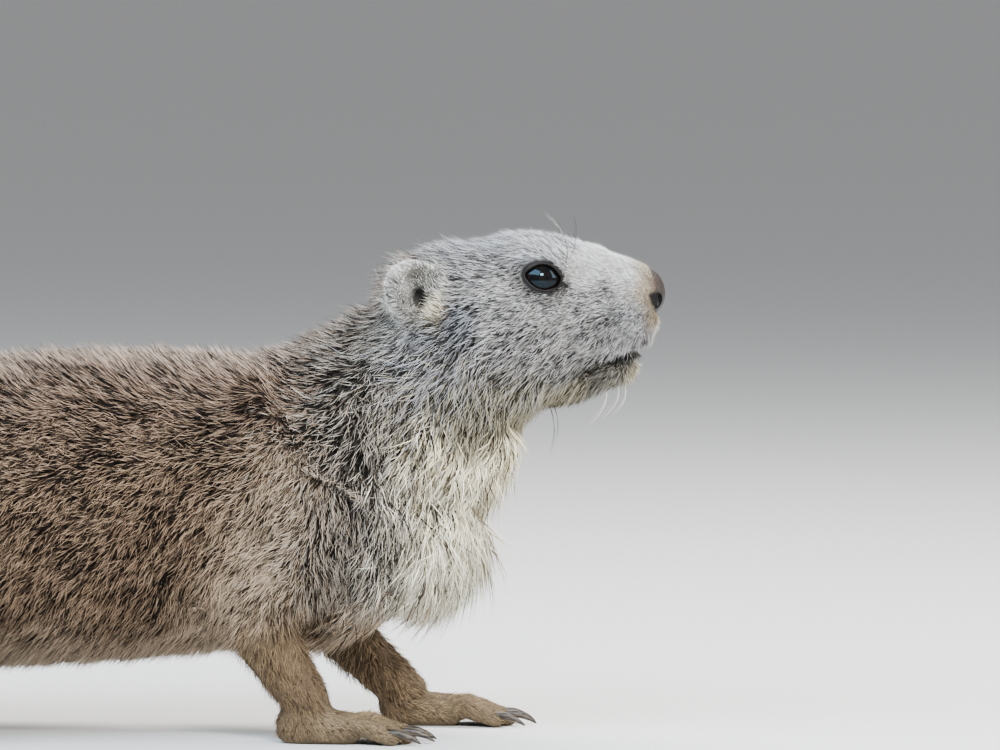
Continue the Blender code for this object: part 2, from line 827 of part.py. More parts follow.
def ruff_roots():
    """The chest and throat, in rows from the belly up to the jaw."""
    draws = random.Random(RUFF_SEED)
    made = []
    for row in range(RUFF_ROWS):
        share = row / (RUFF_ROWS - 1)
        middle = Vector((RUFF_X, 0, RUFF_LOW + (RUFF_HIGH - RUFF_LOW) * share))
        radius = RUFF_RADIUS[0] + (RUFF_RADIUS[1] - RUFF_RADIUS[0]) * share
        count = round(radius * math.radians(2 * RUFF_SIDE) / RUFF_SPACING)
        ahead = CHEST_LIE + (THROAT_LIE - CHEST_LIE) * ramp(share, 0.3, 1)
        for index in range(count):
            turn = math.radians(RUFF_SIDE) * (2 * (index + 0.25 + 0.5 * (row % 2)) / count - 1)
            way = Vector((math.cos(turn), math.sin(turn), 0))
            start = middle + Vector((0, 0, draws.uniform(-RUFF_SCATTER, RUFF_SCATTER)))
            lie = Vector((ahead, 0.3 * math.sin(turn), -1))
            made.append(Root(start, way, lie, THROAT_LIFT * ramp(share, 0.45, 1)))
    return made


def brush_roots():
    """All round the tail, in rows from its root to its tip."""
    line = through(TAIL, 8)
    made = []
    for row in range(BRUSH_ROWS):
        along = BRUSH_START + (BRUSH_END - BRUSH_START) * row / (BRUSH_ROWS - 1)
        at = int(along * (len(line) - 2))
        here, after = line[at], line[at + 1]
        back = Vector(after[:3] - here[:3]).normalized()
        up = back.cross(Vector((0, 1, 0)))
        count = max(4, round(2 * math.pi * (here[3] + 4) / BRUSH_SPACING))
        for index in range(count):
            angle = 2 * math.pi * (index + 0.5 * (row % 2)) / count
            way = Vector((0, 1, 0)) * math.sin(angle) + up * math.cos(angle)
            made.append(Root(Vector(here[:3]), way, back, TIP_LIFT * ramp(along, 0.6, 1)))
    return made


def finish(obj, colour):
    """Gives a node its material."""
    (red, green, blue), roughness = COLOURS[colour]
    material = bpy.data.materials.get(colour) or bpy.data.materials.new(colour)
    material.use_nodes = True
    shader = material.node_tree.nodes["Principled BSDF"]
    shader.inputs["Base Color"].default_value = (red, green, blue, 1)
    shader.inputs["Roughness"].default_value = roughness
    obj.data.materials.clear()
    obj.data.materials.append(material)


COLOUR_OF = {
    "torso": "coat_back",
    "head": "coat_head",
    "ear": "coat_head",
    "neck": "coat_throat",
    "leg": "coat_legs",
    "paw": "coat_legs",
    "tail": "coat_tail",
    "nose": "nose",
    "eye": "eye",
    "claw": "claw",
}


def centre_on_floor(nodes):
    """Moves everything so that the middle of its footprint is the origin."""
    points = [v.co for obj in nodes for v in obj.data.vertices]
    x = (min(p.x for p in points) + max(p.x for p in points)) / 2
    y = (min(p.y for p in points) + max(p.y for p in points)) / 2
    for obj in nodes:
        obj.data.transform(Matrix.Translation((-x, -y, 0)))


def main():
    clear_scene()
    whole = flesh()
    behind, ahead = slab(HEAD_CUT, -1, BLOCK_OVERLAP), slab(HEAD_CUT, 1, BLOCK_OVERLAP)
    block = combine(copy_of(whole, "block"), [behind], "DIFFERENCE", "MANIFOLD")
    body = combine(whole, [ahead], "DIFFERENCE", "MANIFOLD")
    nodes = [head(thinned(block, HEAD_TRIANGLES)), nose()]
    thinned(body, BODY_TRIANGLES)
    nodes += limbs(body)
    nodes.append(between(copy_of(body, "neck"), NECK_CUT, HEAD_CUT))
    nodes.append(between(copy_of(body, "tail"), None, TAIL_CUT))
    nodes.append(between(body, TAIL_CUT, NECK_CUT))
    body.name = "torso"
    by_name = {obj.name: obj for obj in nodes}
    near_ruff = ("head", "torso", "leg_fore_left", "leg_fore_right", "paw_fore_left", "paw_fore_right")
    grown(by_name["neck"], RUFF, ruff_roots(), [by_name[n] for n in near_ruff], RUFF_SEED)
    near_brush = ("torso", "leg_hind_left", "leg_hind_right")
    grown(by_name["tail"], BRUSH, brush_roots(), [by_name[n] for n in near_brush], BRUSH_SEED)
    for build, name in ((ear, "ear"), (eyeball, "eye")):
        left = build(f"{name}_left")
        nodes += [left, mirrored(left, f"{name}_right")]
    for obj in nodes:
        finish(obj, COLOUR_OF[obj.name.split("_")[0]])
    centre_on_floor(nodes)


main()
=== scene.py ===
"""A young alpine marmot, dressed as a museum's still, life-size model.

The tables give sizes in millimetres in the frame in which the animal was drawn: X points to the
nose with its zero between the shoulders, Y to the animal's left and Z up from the floor. Drawing
turns them into metres in the model's own frame.
"""

import logging
import math
from dataclasses import dataclass, field
from enum import Enum
from typing import Any, NamedTuple, Sequence

import bpy
import numpy as np
from mathutils import Euler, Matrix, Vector


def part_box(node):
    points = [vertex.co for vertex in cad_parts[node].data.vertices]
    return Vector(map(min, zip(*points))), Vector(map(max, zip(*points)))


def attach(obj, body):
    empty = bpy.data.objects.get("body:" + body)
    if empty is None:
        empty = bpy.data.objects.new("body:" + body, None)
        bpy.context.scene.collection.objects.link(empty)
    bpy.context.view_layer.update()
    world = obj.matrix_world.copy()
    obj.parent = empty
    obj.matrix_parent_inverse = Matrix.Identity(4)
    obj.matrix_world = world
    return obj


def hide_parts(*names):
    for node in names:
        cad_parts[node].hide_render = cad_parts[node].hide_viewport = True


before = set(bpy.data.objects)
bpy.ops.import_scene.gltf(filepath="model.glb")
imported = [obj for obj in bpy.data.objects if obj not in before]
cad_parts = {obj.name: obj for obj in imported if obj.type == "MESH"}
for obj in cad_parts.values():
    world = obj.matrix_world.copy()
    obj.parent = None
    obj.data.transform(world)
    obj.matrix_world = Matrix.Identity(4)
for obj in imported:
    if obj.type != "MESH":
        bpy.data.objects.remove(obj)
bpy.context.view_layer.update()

LOG = logging.getLogger("marmot")
MM = 0.001
MERGE = 1e-6
COAT_MAP = "OFBake"
Array = np.ndarray
Pair = tuple[float, float]
Colour = tuple[float, float, float]
Triple = tuple[float, float, float]


# The frame of the tables.


EYE_PLACE = (71.0, 17.6, 155.8)
EYE_RADIUS = 7.8
PAD_PLACE = (108.1, 0.0, 150.7)
PAD_RADII = (5.8, 8.9, 7.9)
MOUTH_CORNER = (86.0, 124.2)
MOUTH_SLOPE = 0.35
EAR_CANAL = (31.0, 27.0, 148.6)


@dataclass(frozen=True)
class Drawing:
    """The frame of the tables.

    Args:
        shift: How far its origin lies from the model's own along X, in metres.
    """

    shift: float

    @classmethod
    def from_solids(cls) -> "Drawing":
        """Finds the shift from the place of the left eye's solid."""
        low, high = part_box("eye_left")
        return cls((low.x + high.x) / 2 - EYE_PLACE[0] * MM)

    def to_model(self, points: Array) -> Array:
        """Millimetres of the tables to metres of the model."""
        return np.asarray(points, float) * MM + np.array([self.shift, 0, 0])

    def to_table(self, points: Array) -> Array:
        """Metres of the model to millimetres of the tables."""
        return (np.asarray(points, float) - np.array([self.shift, 0, 0])) / MM


# Tools for modelling.


def deselect() -> None:
    """Selects nothing."""
    bpy.ops.object.select_all(action="DESELECT")


def choose(*objects: bpy.types.Object) -> None:
    """Selects these objects alone and makes the first the active one."""
    deselect()
    for obj in objects:
        obj.select_set(True)
    bpy.context.view_layer.objects.active = objects[0]


def joined(name: str, pieces: Sequence[bpy.types.Object]) -> bpy.types.Object:
    """Joins objects into one.

    Args:
        name: The new object's name.
        pieces: What it is made of.

    Returns:
        The joined object.
    """
    choose(*pieces)
    if len(pieces) > 1:
        bpy.ops.object.join()
    whole = bpy.context.view_layer.objects.active
    whole.name = whole.data.name = name
    return whole


def finished_with(obj: bpy.types.Object, kind: str, **settings: Any) -> bpy.types.Object:
    """Adds a modifier and applies it.

    Args:
        obj: The object.
        kind: The modifier's type.
        **settings: The modifier's values.

    Returns:
        The same object.
    """
    choose(obj)
    modifier = obj.modifiers.new(kind.lower(), kind)
    for key, value in settings.items():
        setattr(modifier, key, value)
    bpy.ops.object.modifier_apply(modifier=modifier.name)
    return obj


def smoothed(obj: bpy.types.Object, times: int, **settings: Any) -> bpy.types.Object:
    """Smooths an object this often, with more of the modifier's values where given."""
    return finished_with(obj, "SMOOTH", factor=0.5, iterations=times, **settings)


def carved(whole: bpy.types.Object, hollows: Sequence[bpy.types.Object]) -> bpy.types.Object:
    """Cuts hollows into an object and removes their forms.

    Args:
        whole: The object.
        hollows: The forms that are cut out.

    Returns:
        The same object.
    """
    for hollow in hollows:
        finished_with(whole, "BOOLEAN", object=hollow, operation="DIFFERENCE", solver="EXACT")
        bpy.data.objects.remove(hollow)
    return whole


def ball(
    name: str, place: Array, radii: Triple, turn: Triple = (0, 0, 0), detail: int = 32
) -> bpy.types.Object:
    """Adds an ellipsoid whose place and turn are in its mesh.

    Args:
        name: The object's name.
        place: Its middle, in metres of the model.
        radii: Its half sizes, in millimetres.
        turn: Degrees about X, Y and Z.
        detail: Steps round its equator.

    Returns:
        The ellipsoid.
    """
    deselect()
    bpy.ops.mesh.primitive_uv_sphere_add(
        segments=detail,
        ring_count=detail // 2,
        radius=1,
        location=tuple(place),
        rotation=tuple(math.radians(a) for a in turn),
        scale=tuple(r * MM for r in radii),
    )
    bpy.ops.object.transform_apply(location=True, rotation=True, scale=True)
    made = bpy.context.view_layer.objects.active
    made.name = made.data.name = name
    return made


def copy_of_solid(name: str) -> bpy.types.Object:
    """Copies one of the part's solids and merges its loose triangles.

    Args:
        name: The solid's name.

    Returns:
        The copy, which belongs to no body yet.
    """
    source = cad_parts[name]
    made = bpy.data.objects.new(f"{name}_copy", source.data.copy())
    bpy.context.scene.collection.objects.link(made)
    made.data.materials.clear()
    return turned_outwards(made, MERGE)


def numbers(items: Any, key: str, width: int) -> Array:
    """Reads a value of every vertex, loop or face.

    Args:
        items: The mesh's vertices, loops or faces.
        key: The value's name.
        width: How many numbers it has.

    Returns:
        One row for each item.
    """
    values = np.empty(len(items) * width, np.float32)
    items.foreach_get(key, values)
    return values.reshape(-1, width)


def triangles_of(mesh: bpy.types.Mesh, key: str = "vertices") -> Array:
    """Reads a mesh's triangles.

    Args:
        mesh: The mesh.
        key: What is read of each corner, which is its vertex or its loop.

    Returns:
        One row of three indices for each triangle.
    """
    mesh.calc_loop_triangles()
    values = np.empty(len(mesh.loop_triangles) * 3, np.int32)
    mesh.loop_triangles.foreach_get(key, values)
    return values.reshape(-1, 3)


def smooth_shaded(obj: bpy.types.Object) -> bpy.types.Object:
    """Shades an object smooth and returns it."""
    obj.data.polygons.foreach_set("use_smooth", np.ones(len(obj.data.polygons), bool))
    return obj


def turned_outwards(obj: bpy.types.Object, merge: float = 0.0) -> bpy.types.Object:
    """Makes a mesh's faces point outwards.

    Args:
        obj: The object.
        merge: Corners closer than this are merged first, in metres.

    Returns:
        The same object.
    """
    choose(obj)
    bpy.ops.object.mode_set(mode="EDIT")
    bpy.ops.mesh.select_all(action="SELECT")
    if merge:
        bpy.ops.mesh.remove_doubles(threshold=merge)
    bpy.ops.mesh.normals_make_consistent(inside=False)
    bpy.ops.object.mode_set(mode="OBJECT")
    return obj


def paint_vertices(mesh: bpy.types.Mesh, colours: Array) -> None:
    """Writes the attribute that the coat's materials read.

    Args:
        mesh: The mesh.
        colours: A colour for each vertex, in amounts of light.
    """
    layer = mesh.color_attributes.new("coat", "FLOAT_COLOR", "POINT")
    filled = np.ones((len(colours), 4), np.float32)
    filled[:, :3] = colours
    layer.data.foreach_set("color", filled.ravel())


def side_word(side: int) -> str:
    """The word for a side, which is 1 on the left and -1 on the right."""
    return "left" if side > 0 else "right"


# Shader expressions.


class Value:
    """A number on its way through a material. A product of it adds the node for that.

    Args:
        paint: The material that is being built.
        socket: The socket that gives the number.
    """

    def __init__(self, paint: "Paint", socket: bpy.types.NodeSocket) -> None:
        """Keeps the material and the socket."""
        self.paint = paint
        self.socket = socket

    def __mul__(self, other: Any) -> "Value":
        """The product."""
        node = self.paint.node("ShaderNodeMath", {"operation": "MULTIPLY"}, {0: self, 1: other})
        return Value(self.paint, node.outputs[0])

    def between(self, low: float, high: float) -> "Value":
        """Rises from 0 to 1 as the value goes from low to high.

        Args:
            low: Where it starts to rise.
            high: Where it reaches 1.

        Returns:
            The share.
        """
        values = {"Value": self, "From Min": low, "From Max": high}
        node = self.paint.node("ShaderNodeMapRange", {"clamp": True}, values)
        return Value(self.paint, node.outputs["Result"])

    __rmul__ = __mul__


class Paint:
    """Builds the nodes of one material.

    Args:
        name: The material's name.
    """

    def __init__(self, name: str) -> None:
        """Starts the material."""
        self.material = bpy.data.materials.new(name)
        self.material.use_nodes = True
        self.tree = self.material.node_tree
        self.shader = self.tree.nodes["Principled BSDF"]

    def plug(self, socket: bpy.types.NodeSocket, value: Any) -> None:
        """Sets or links a socket.

        Args:
            socket: The socket.
            value: A number or colour, or the value or socket that it is linked to.
        """
        if isinstance(value, Value):
            value = value.socket
        if isinstance(value, bpy.types.NodeSocket):
            self.tree.links.new(value, socket)
        elif isinstance(value, tuple) and len(value) == 3 and socket.type == "RGBA":
            socket.default_value = (*value, 1)
        else:
            socket.default_value = value

    def node(self, kind: str, settings: dict[str, Any], values: dict[Any, Any]) -> bpy.types.Node:
        """Adds a node.

        Args:
            kind: Its type.
            settings: Its own settings, which are set first.
            values: What its sockets are set or linked to, by name or number.

        Returns:
            The node.
        """
        made = self.tree.nodes.new(kind)
        for key, value in settings.items():
            setattr(made, key, value)
        for key, value in values.items():
            self.plug(made.inputs[key], value)
        return made

    def attribute(self, name: str) -> bpy.types.NodeSocket:
        """The colour that a mesh carries under this name."""
        found = self.node("ShaderNodeAttribute", {"attribute_name": name}, {})
        return found.outputs["Color"]

    def place(self, stretch: Triple = (1, 1, 1)) -> bpy.types.NodeSocket:
        """The place on the piece, in metres.

        Args:
            stretch: What it is multiplied by along each axis.

        Returns:
            The socket of the place.
        """
        where = self.node("ShaderNodeTexCoord", {}, {}).outputs["Object"]
        values = {0: where, 1: stretch}
        return self.node("ShaderNodeVectorMath", {"operation": "MULTIPLY"}, values).outputs[0]

    def noise(self, where: bpy.types.NodeSocket, scale: float, detail: float = 2.0) -> Value:
        """Soft random spots.

        Args:
            where: The place that they are read at.
            scale: How many fit in a metre.
            detail: How many finer layers they have.

        Returns:
            A value round one half.
        """
        values = {"Vector": where, "Scale": scale, "Detail": detail}
        return Value(self, self.node("ShaderNodeTexNoise", {}, values).outputs["Fac"])

    def mixed(self, share: Any, first: Any, second: Any) -> bpy.types.NodeSocket:
        """Two colours mixed.

        Args:
            share: How much there is of the second, as a number or value.
            first: A colour or a socket that gives one.
            second: The same.

        Returns:
            The socket of the mixed colour.
        """
        values = {0: share, 6: first, 7: second}
        return self.node("ShaderNodeMix", {"data_type": "RGBA"}, values).outputs[2]

    def bump(self, height: Value, distance: float) -> bpy.types.NodeSocket:
        """A normal that follows a height.

        Args:
            height: The height, from 0 to 1.
            distance: What 1 stands for, in metres.

        Returns:
            The socket of the normal.
        """
        values = {"Height": height, "Distance": distance}
        return self.node("ShaderNodeBump", {}, values).outputs["Normal"]

    def surface(self, **values: Any) -> bpy.types.Material:
        """Sets the shader's sockets.

        Args:
            **values: What each is set or linked to, by its name with underscores for spaces.

        Returns:
            The material.
        """
        for key, value in values.items():
            self.plug(self.shader.inputs[key.replace("_", " ")], value)
        return self.material


# Finishes.


def linear(colour: Colour) -> Array:
    """A colour as a screen shows it, turned into amounts of light by the usual screen curve."""
    value = np.asarray(colour, float)
    return np.where(value <= 0.04045, value / 12.92, ((value + 0.055) / 1.055) ** 2.4)


@dataclass(frozen=True)
class CoatFinish:
    """Hair, whose colour each tuft carries.

    Args:
        name: The material's name.
        roughness: How dull it is.
        shine: How much light it mirrors.
    """

    name: str
    roughness: float = 0.62
    shine: float = 0.06

    def material(self) -> bpy.types.Material:
        """Builds the material.

        Returns:
            The material.
        """
        paint = Paint(self.name)
        return paint.surface(
            Base_Color=paint.attribute("coat"),
            Roughness=self.roughness,
            Specular_IOR_Level=self.shine,
        )


@dataclass(frozen=True)
class SkinFinish:
    """The skin with the shortest hair, which is too fine to stand off it.

    Args:
        streaks: How many of its hairs fit in a metre.
        stretch: How they are drawn out along the body.
        detail: How many finer layers they have.
        edge: Where the gaps between them start and where they are full.
        cover: How dark the gaps are.
        dark: The colour in the gaps.
        depth: How high the hairs are, in metres.
        roughness: How dull they are.
        shine: How much light they mirror.
    """

    streaks: float = 2400.0
    stretch: Triple = (0.35, 1, 1)
    detail: float = 3
    edge: Pair = (0.4, 0.65)
    cover: float = 0.5
    dark: Colour = (0.004, 0.003, 0.003)
    depth: float = 0.0004
    roughness: float = 0.75
    shine: float = 0.15

    def material(self) -> bpy.types.Material:
        """Builds the material.

        Returns:
            The material.
        """
        paint = Paint("skin")
        hairs = paint.noise(paint.place(self.stretch), self.streaks, self.detail)
        gaps = hairs.between(*self.edge) * self.cover
        return paint.surface(
            Base_Color=paint.mixed(gaps, paint.attribute("coat"), self.dark),
            Roughness=self.roughness,
            Specular_IOR_Level=self.shine,
            Normal=paint.bump(hairs, self.depth),
        )


@dataclass(frozen=True)
class EyeFinish:
    """The wet, nearly black eye, which mirrors the sky.

    Args:
        pupil: Its darkest colour.
        iris: The colour of its clouds.
        clouds: How many of them fit in a metre.
        edge: Where they start and where they are full.
        roughness: How dull it is.
        shine: How much light it mirrors.
        tint: The colour of what it mirrors.
    """

    pupil: Colour = (0.002, 0.002, 0.002)
    iris: Colour = (0.006, 0.004, 0.003)
    clouds: float = 500
    edge: Pair = (0.35, 0.7)
    roughness: float = 0.02
    shine: float = 0.18
    tint: Colour = (0.42, 0.74, 1.0)

    def material(self) -> bpy.types.Material:
        """Builds the material.

        Returns:
            The material.
        """
        paint = Paint("eye")
        cloud = paint.noise(paint.place(), self.clouds)
        return paint.surface(
            Base_Color=paint.mixed(cloud.between(*self.edge), self.pupil, self.iris),
            Roughness=self.roughness,
            Specular_IOR_Level=self.shine,
            Specular_Tint=self.tint,
        )


@dataclass(frozen=True)
class LidFinish:
    """The bare dark edge of the lids.

    Args:
        colour: Its colour.
        creases: How many of its creases fit in a metre.
        depth: How deep they are, in metres.
        roughness: How dull it is.
        shine: How much light it mirrors.
    """

    colour: Colour = (0.007, 0.006, 0.006)
    creases: float = 1500
    depth: float = 0.00015
    roughness: float = 0.5
    shine: float = 0.12

    def material(self) -> bpy.types.Material:
        """Builds the material.

        Returns:
            The material.
        """
        paint = Paint("lid")
        return paint.surface(
            Base_Color=self.colour,
            Roughness=self.roughness,
            Specular_IOR_Level=self.shine,
            Normal=paint.bump(paint.noise(paint.place(), self.creases), self.depth),
        )


@dataclass(frozen=True)
class NoseFinish:
    """The bare skin of the nose, with its fine cobbles.

    Args:
        dark: The colour between the cobbles.
        cobbles: How many of them fit in a metre.
        detail: How many finer layers they have.
        edge: Where the dark starts and where it is full.
        depth: How high they are, in metres.
        roughness: How dull it is.
        shine: How much light it mirrors.
    """

    dark: Colour = (0.006, 0.005, 0.005)
    cobbles: float = 1500
    detail: float = 1
    edge: Pair = (0.45, 0.7)
    depth: float = 0.0004
    roughness: float = 0.45
    shine: float = 0.22

    def material(self) -> bpy.types.Material:
        """Builds the material.

        Returns:
            The material.
        """
        paint = Paint("nose")
        cobbles = paint.noise(paint.place(), self.cobbles, self.detail)
        return paint.surface(
            Base_Color=paint.mixed(cobbles.between(*self.edge), paint.attribute("coat"), self.dark),
            Roughness=self.roughness,
            Specular_IOR_Level=self.shine,
            Normal=paint.bump(cobbles, self.depth),
        )


@dataclass(frozen=True)
class HornFinish:
    """The dark horn of the claws.

    Args:
        dark: Its own colour.
        pale: The colour of its grain.
        grain: How much of the grain fits in a metre.
        stretch: How the grain is drawn out along a claw.
        edge: Where the grain starts and where it is full.
        cover: How pale it is.
        depth: How high it is, in metres.
        roughness: How dull the horn is.
        shine: How much light it mirrors.
    """

    dark: Colour = (0.018, 0.014, 0.012)
    pale: Colour = (0.16, 0.125, 0.09)
    grain: float = 1300
    stretch: Triple = (0.15, 1, 1)
    edge: Pair = (0.4, 0.75)
    cover: float = 0.6
    depth: float = 0.0001
    roughness: float = 0.34
    shine: float = 0.25

    def material(self) -> bpy.types.Material:
        """Builds the material.

        Returns:
            The material.
        """
        paint = Paint("horn")
        grain = paint.noise(paint.place(self.stretch), self.grain)
        pale = grain.between(*self.edge) * self.cover
        return paint.surface(
            Base_Color=paint.mixed(pale, self.dark, self.pale),
            Roughness=self.roughness,
            Specular_IOR_Level=self.shine,
            Normal=paint.bump(grain, self.depth),
        )


@dataclass(frozen=True)
class FloorFinish:
    """The plain pale floor.

    Args:
        colour: Its colour.
        roughness: How dull it is.
    """

    colour: Colour = (0.62, 0.62, 0.61)
    roughness: float = 0.7

    def material(self) -> bpy.types.Material:
        """Builds the material."""
        return Paint("floor").surface(Base_Color=self.colour, Roughness=self.roughness)


# The lie, length and colour of the coat.


class Tone(NamedTuple):
    """The hairs of one part of the coat, with colours as a screen shows them.

    A share of them is light, and the others are dark, some with light tips.
    """

    light: Colour
    dark: Colour
    share: float
    under: Colour


FROST = Tone((0.98, 0.97, 0.96), (0.46, 0.44, 0.43), 0.76, (0.30, 0.28, 0.27))
SILVER = Tone((0.95, 0.94, 0.94), (0.28, 0.27, 0.28), 0.58, (0.18, 0.17, 0.17))
GREY = Tone((0.95, 0.93, 0.91), (0.13, 0.13, 0.14), 0.44, (0.09, 0.085, 0.09))
MUZZLE = Tone((0.95, 0.94, 0.94), (0.13, 0.13, 0.14), 0.48, (0.10, 0.10, 0.10))
TAN = Tone((0.86, 0.79, 0.68), (0.26, 0.21, 0.17), 0.68, (0.15, 0.12, 0.10))
SNOUT = Tone((0.66, 0.56, 0.49), (0.17, 0.13, 0.11), 0.46, (0.10, 0.08, 0.07))
LIP = Tone((0.84, 0.82, 0.76), (0.10, 0.09, 0.09), 0.26, (0.06, 0.06, 0.06))
OLIVE = Tone((0.94, 0.90, 0.78), (0.14, 0.12, 0.08), 0.42, (0.10, 0.09, 0.06))
SLATE = Tone((0.92, 0.92, 0.94), (0.14, 0.145, 0.153), 0.40, (0.09, 0.09, 0.094))
SHADE = Tone((0.86, 0.87, 0.90), (0.10, 0.105, 0.112), 0.19, (0.06, 0.06, 0.063))
CREAM = Tone((0.98, 0.93, 0.78), (0.36, 0.31, 0.23), 0.84, (0.20, 0.17, 0.12))
WHITE = Tone((0.99, 0.97, 0.88), (0.36, 0.33, 0.27), 0.78, (0.18, 0.16, 0.13))
MIXED = Tone((0.93, 0.90, 0.86), (0.11, 0.10, 0.10), 0.32, (0.05, 0.05, 0.05))
# NAPE: the neck's dark side; lower down, in the gap in front of the foreleg, its dark hair is
# painted shade.
NAPE = Tone((0.86, 0.81, 0.75), (0.06, 0.055, 0.05), 0.14, (0.03, 0.03, 0.025))
# TOP: lighter and greyer than BACK; the back's grizzled top, with a painted highlight of the light
# from above.
TOP = Tone((0.88, 0.78, 0.70), (0.10, 0.075, 0.065), 0.37, (0.05, 0.04, 0.03))
BACK = Tone((0.80, 0.66, 0.55), (0.07, 0.05, 0.04), 0.24, (0.03, 0.022, 0.018))
FLANK = Tone((0.77, 0.64, 0.52), (0.08, 0.06, 0.045), 0.26, (0.035, 0.027, 0.022))
BUFF = Tone((0.92, 0.81, 0.69), (0.15, 0.11, 0.085), 0.72, (0.07, 0.055, 0.04))
LEG = Tone((0.74, 0.62, 0.47), (0.22, 0.165, 0.12), 0.52, (0.13, 0.10, 0.075))
FOOT = Tone((0.78, 0.68, 0.53), (0.29, 0.235, 0.18), 0.58, (0.19, 0.155, 0.12))
BRUSH = Tone((0.57, 0.48, 0.38), (0.075, 0.06, 0.048), 0.36, (0.035, 0.028, 0.024))
TIP = Tone((0.32, 0.24, 0.19), (0.035, 0.03, 0.025), 0.24, (0.02, 0.015, 0.015))
EAR_RIM = Tone((0.98, 0.96, 0.92), (0.26, 0.25, 0.25), 0.58, (0.16, 0.16, 0.15))
# EAR_CUP: the sparser grey hair inside the ear, darker than the rim as painted shade inside the cup.
EAR_CUP = Tone((0.86, 0.85, 0.81), (0.17, 0.165, 0.155), 0.34, (0.09, 0.09, 0.085))
TUFT = Tone((0.97, 0.92, 0.80), (0.36, 0.31, 0.24), 0.74, (0.22, 0.19, 0.15))


class Zone(Enum):
    """A part of the coat that makes its own pieces."""

    HEAD = "head"
    THROAT = "throat"
    BACK = "back"
    LEGS = "legs"
    TAIL = "tail"


class Lead(Enum):
    """The legs that are ahead of or behind their middle place, left and right."""

    NONE = (0.0, 0.0)
    FORE = (17.0, -17.0)
    HIND = (-9.0, 11.0)


class Guide(NamedTuple):
    """How the coat grows at one place of the left side, which the right side mirrors.

    Place and way are in the frame of the tables, length and depth in millimetres, and the rise
    from the skin in degrees. The depth is how far the skin lies inside the solids.
    """

    place: Triple
    way: Triple
    length: float
    depth: float
    rise: float
    tone: Tone
    zone: Zone
    lead: Lead = Lead.NONE


HEAD, THROAT, TRUNK, LEGS, TAIL = Zone.HEAD, Zone.THROAT, Zone.BACK, Zone.LEGS, Zone.TAIL
FORE, HIND = Lead.FORE, Lead.HIND

# Length, depth and rise where many guides share them: on the body, the neck and the belly.
BODY = (7.2, 3.6, 40)
NECK = (8.8, 4, 38)
BELLY = (7, 3.1, 36)

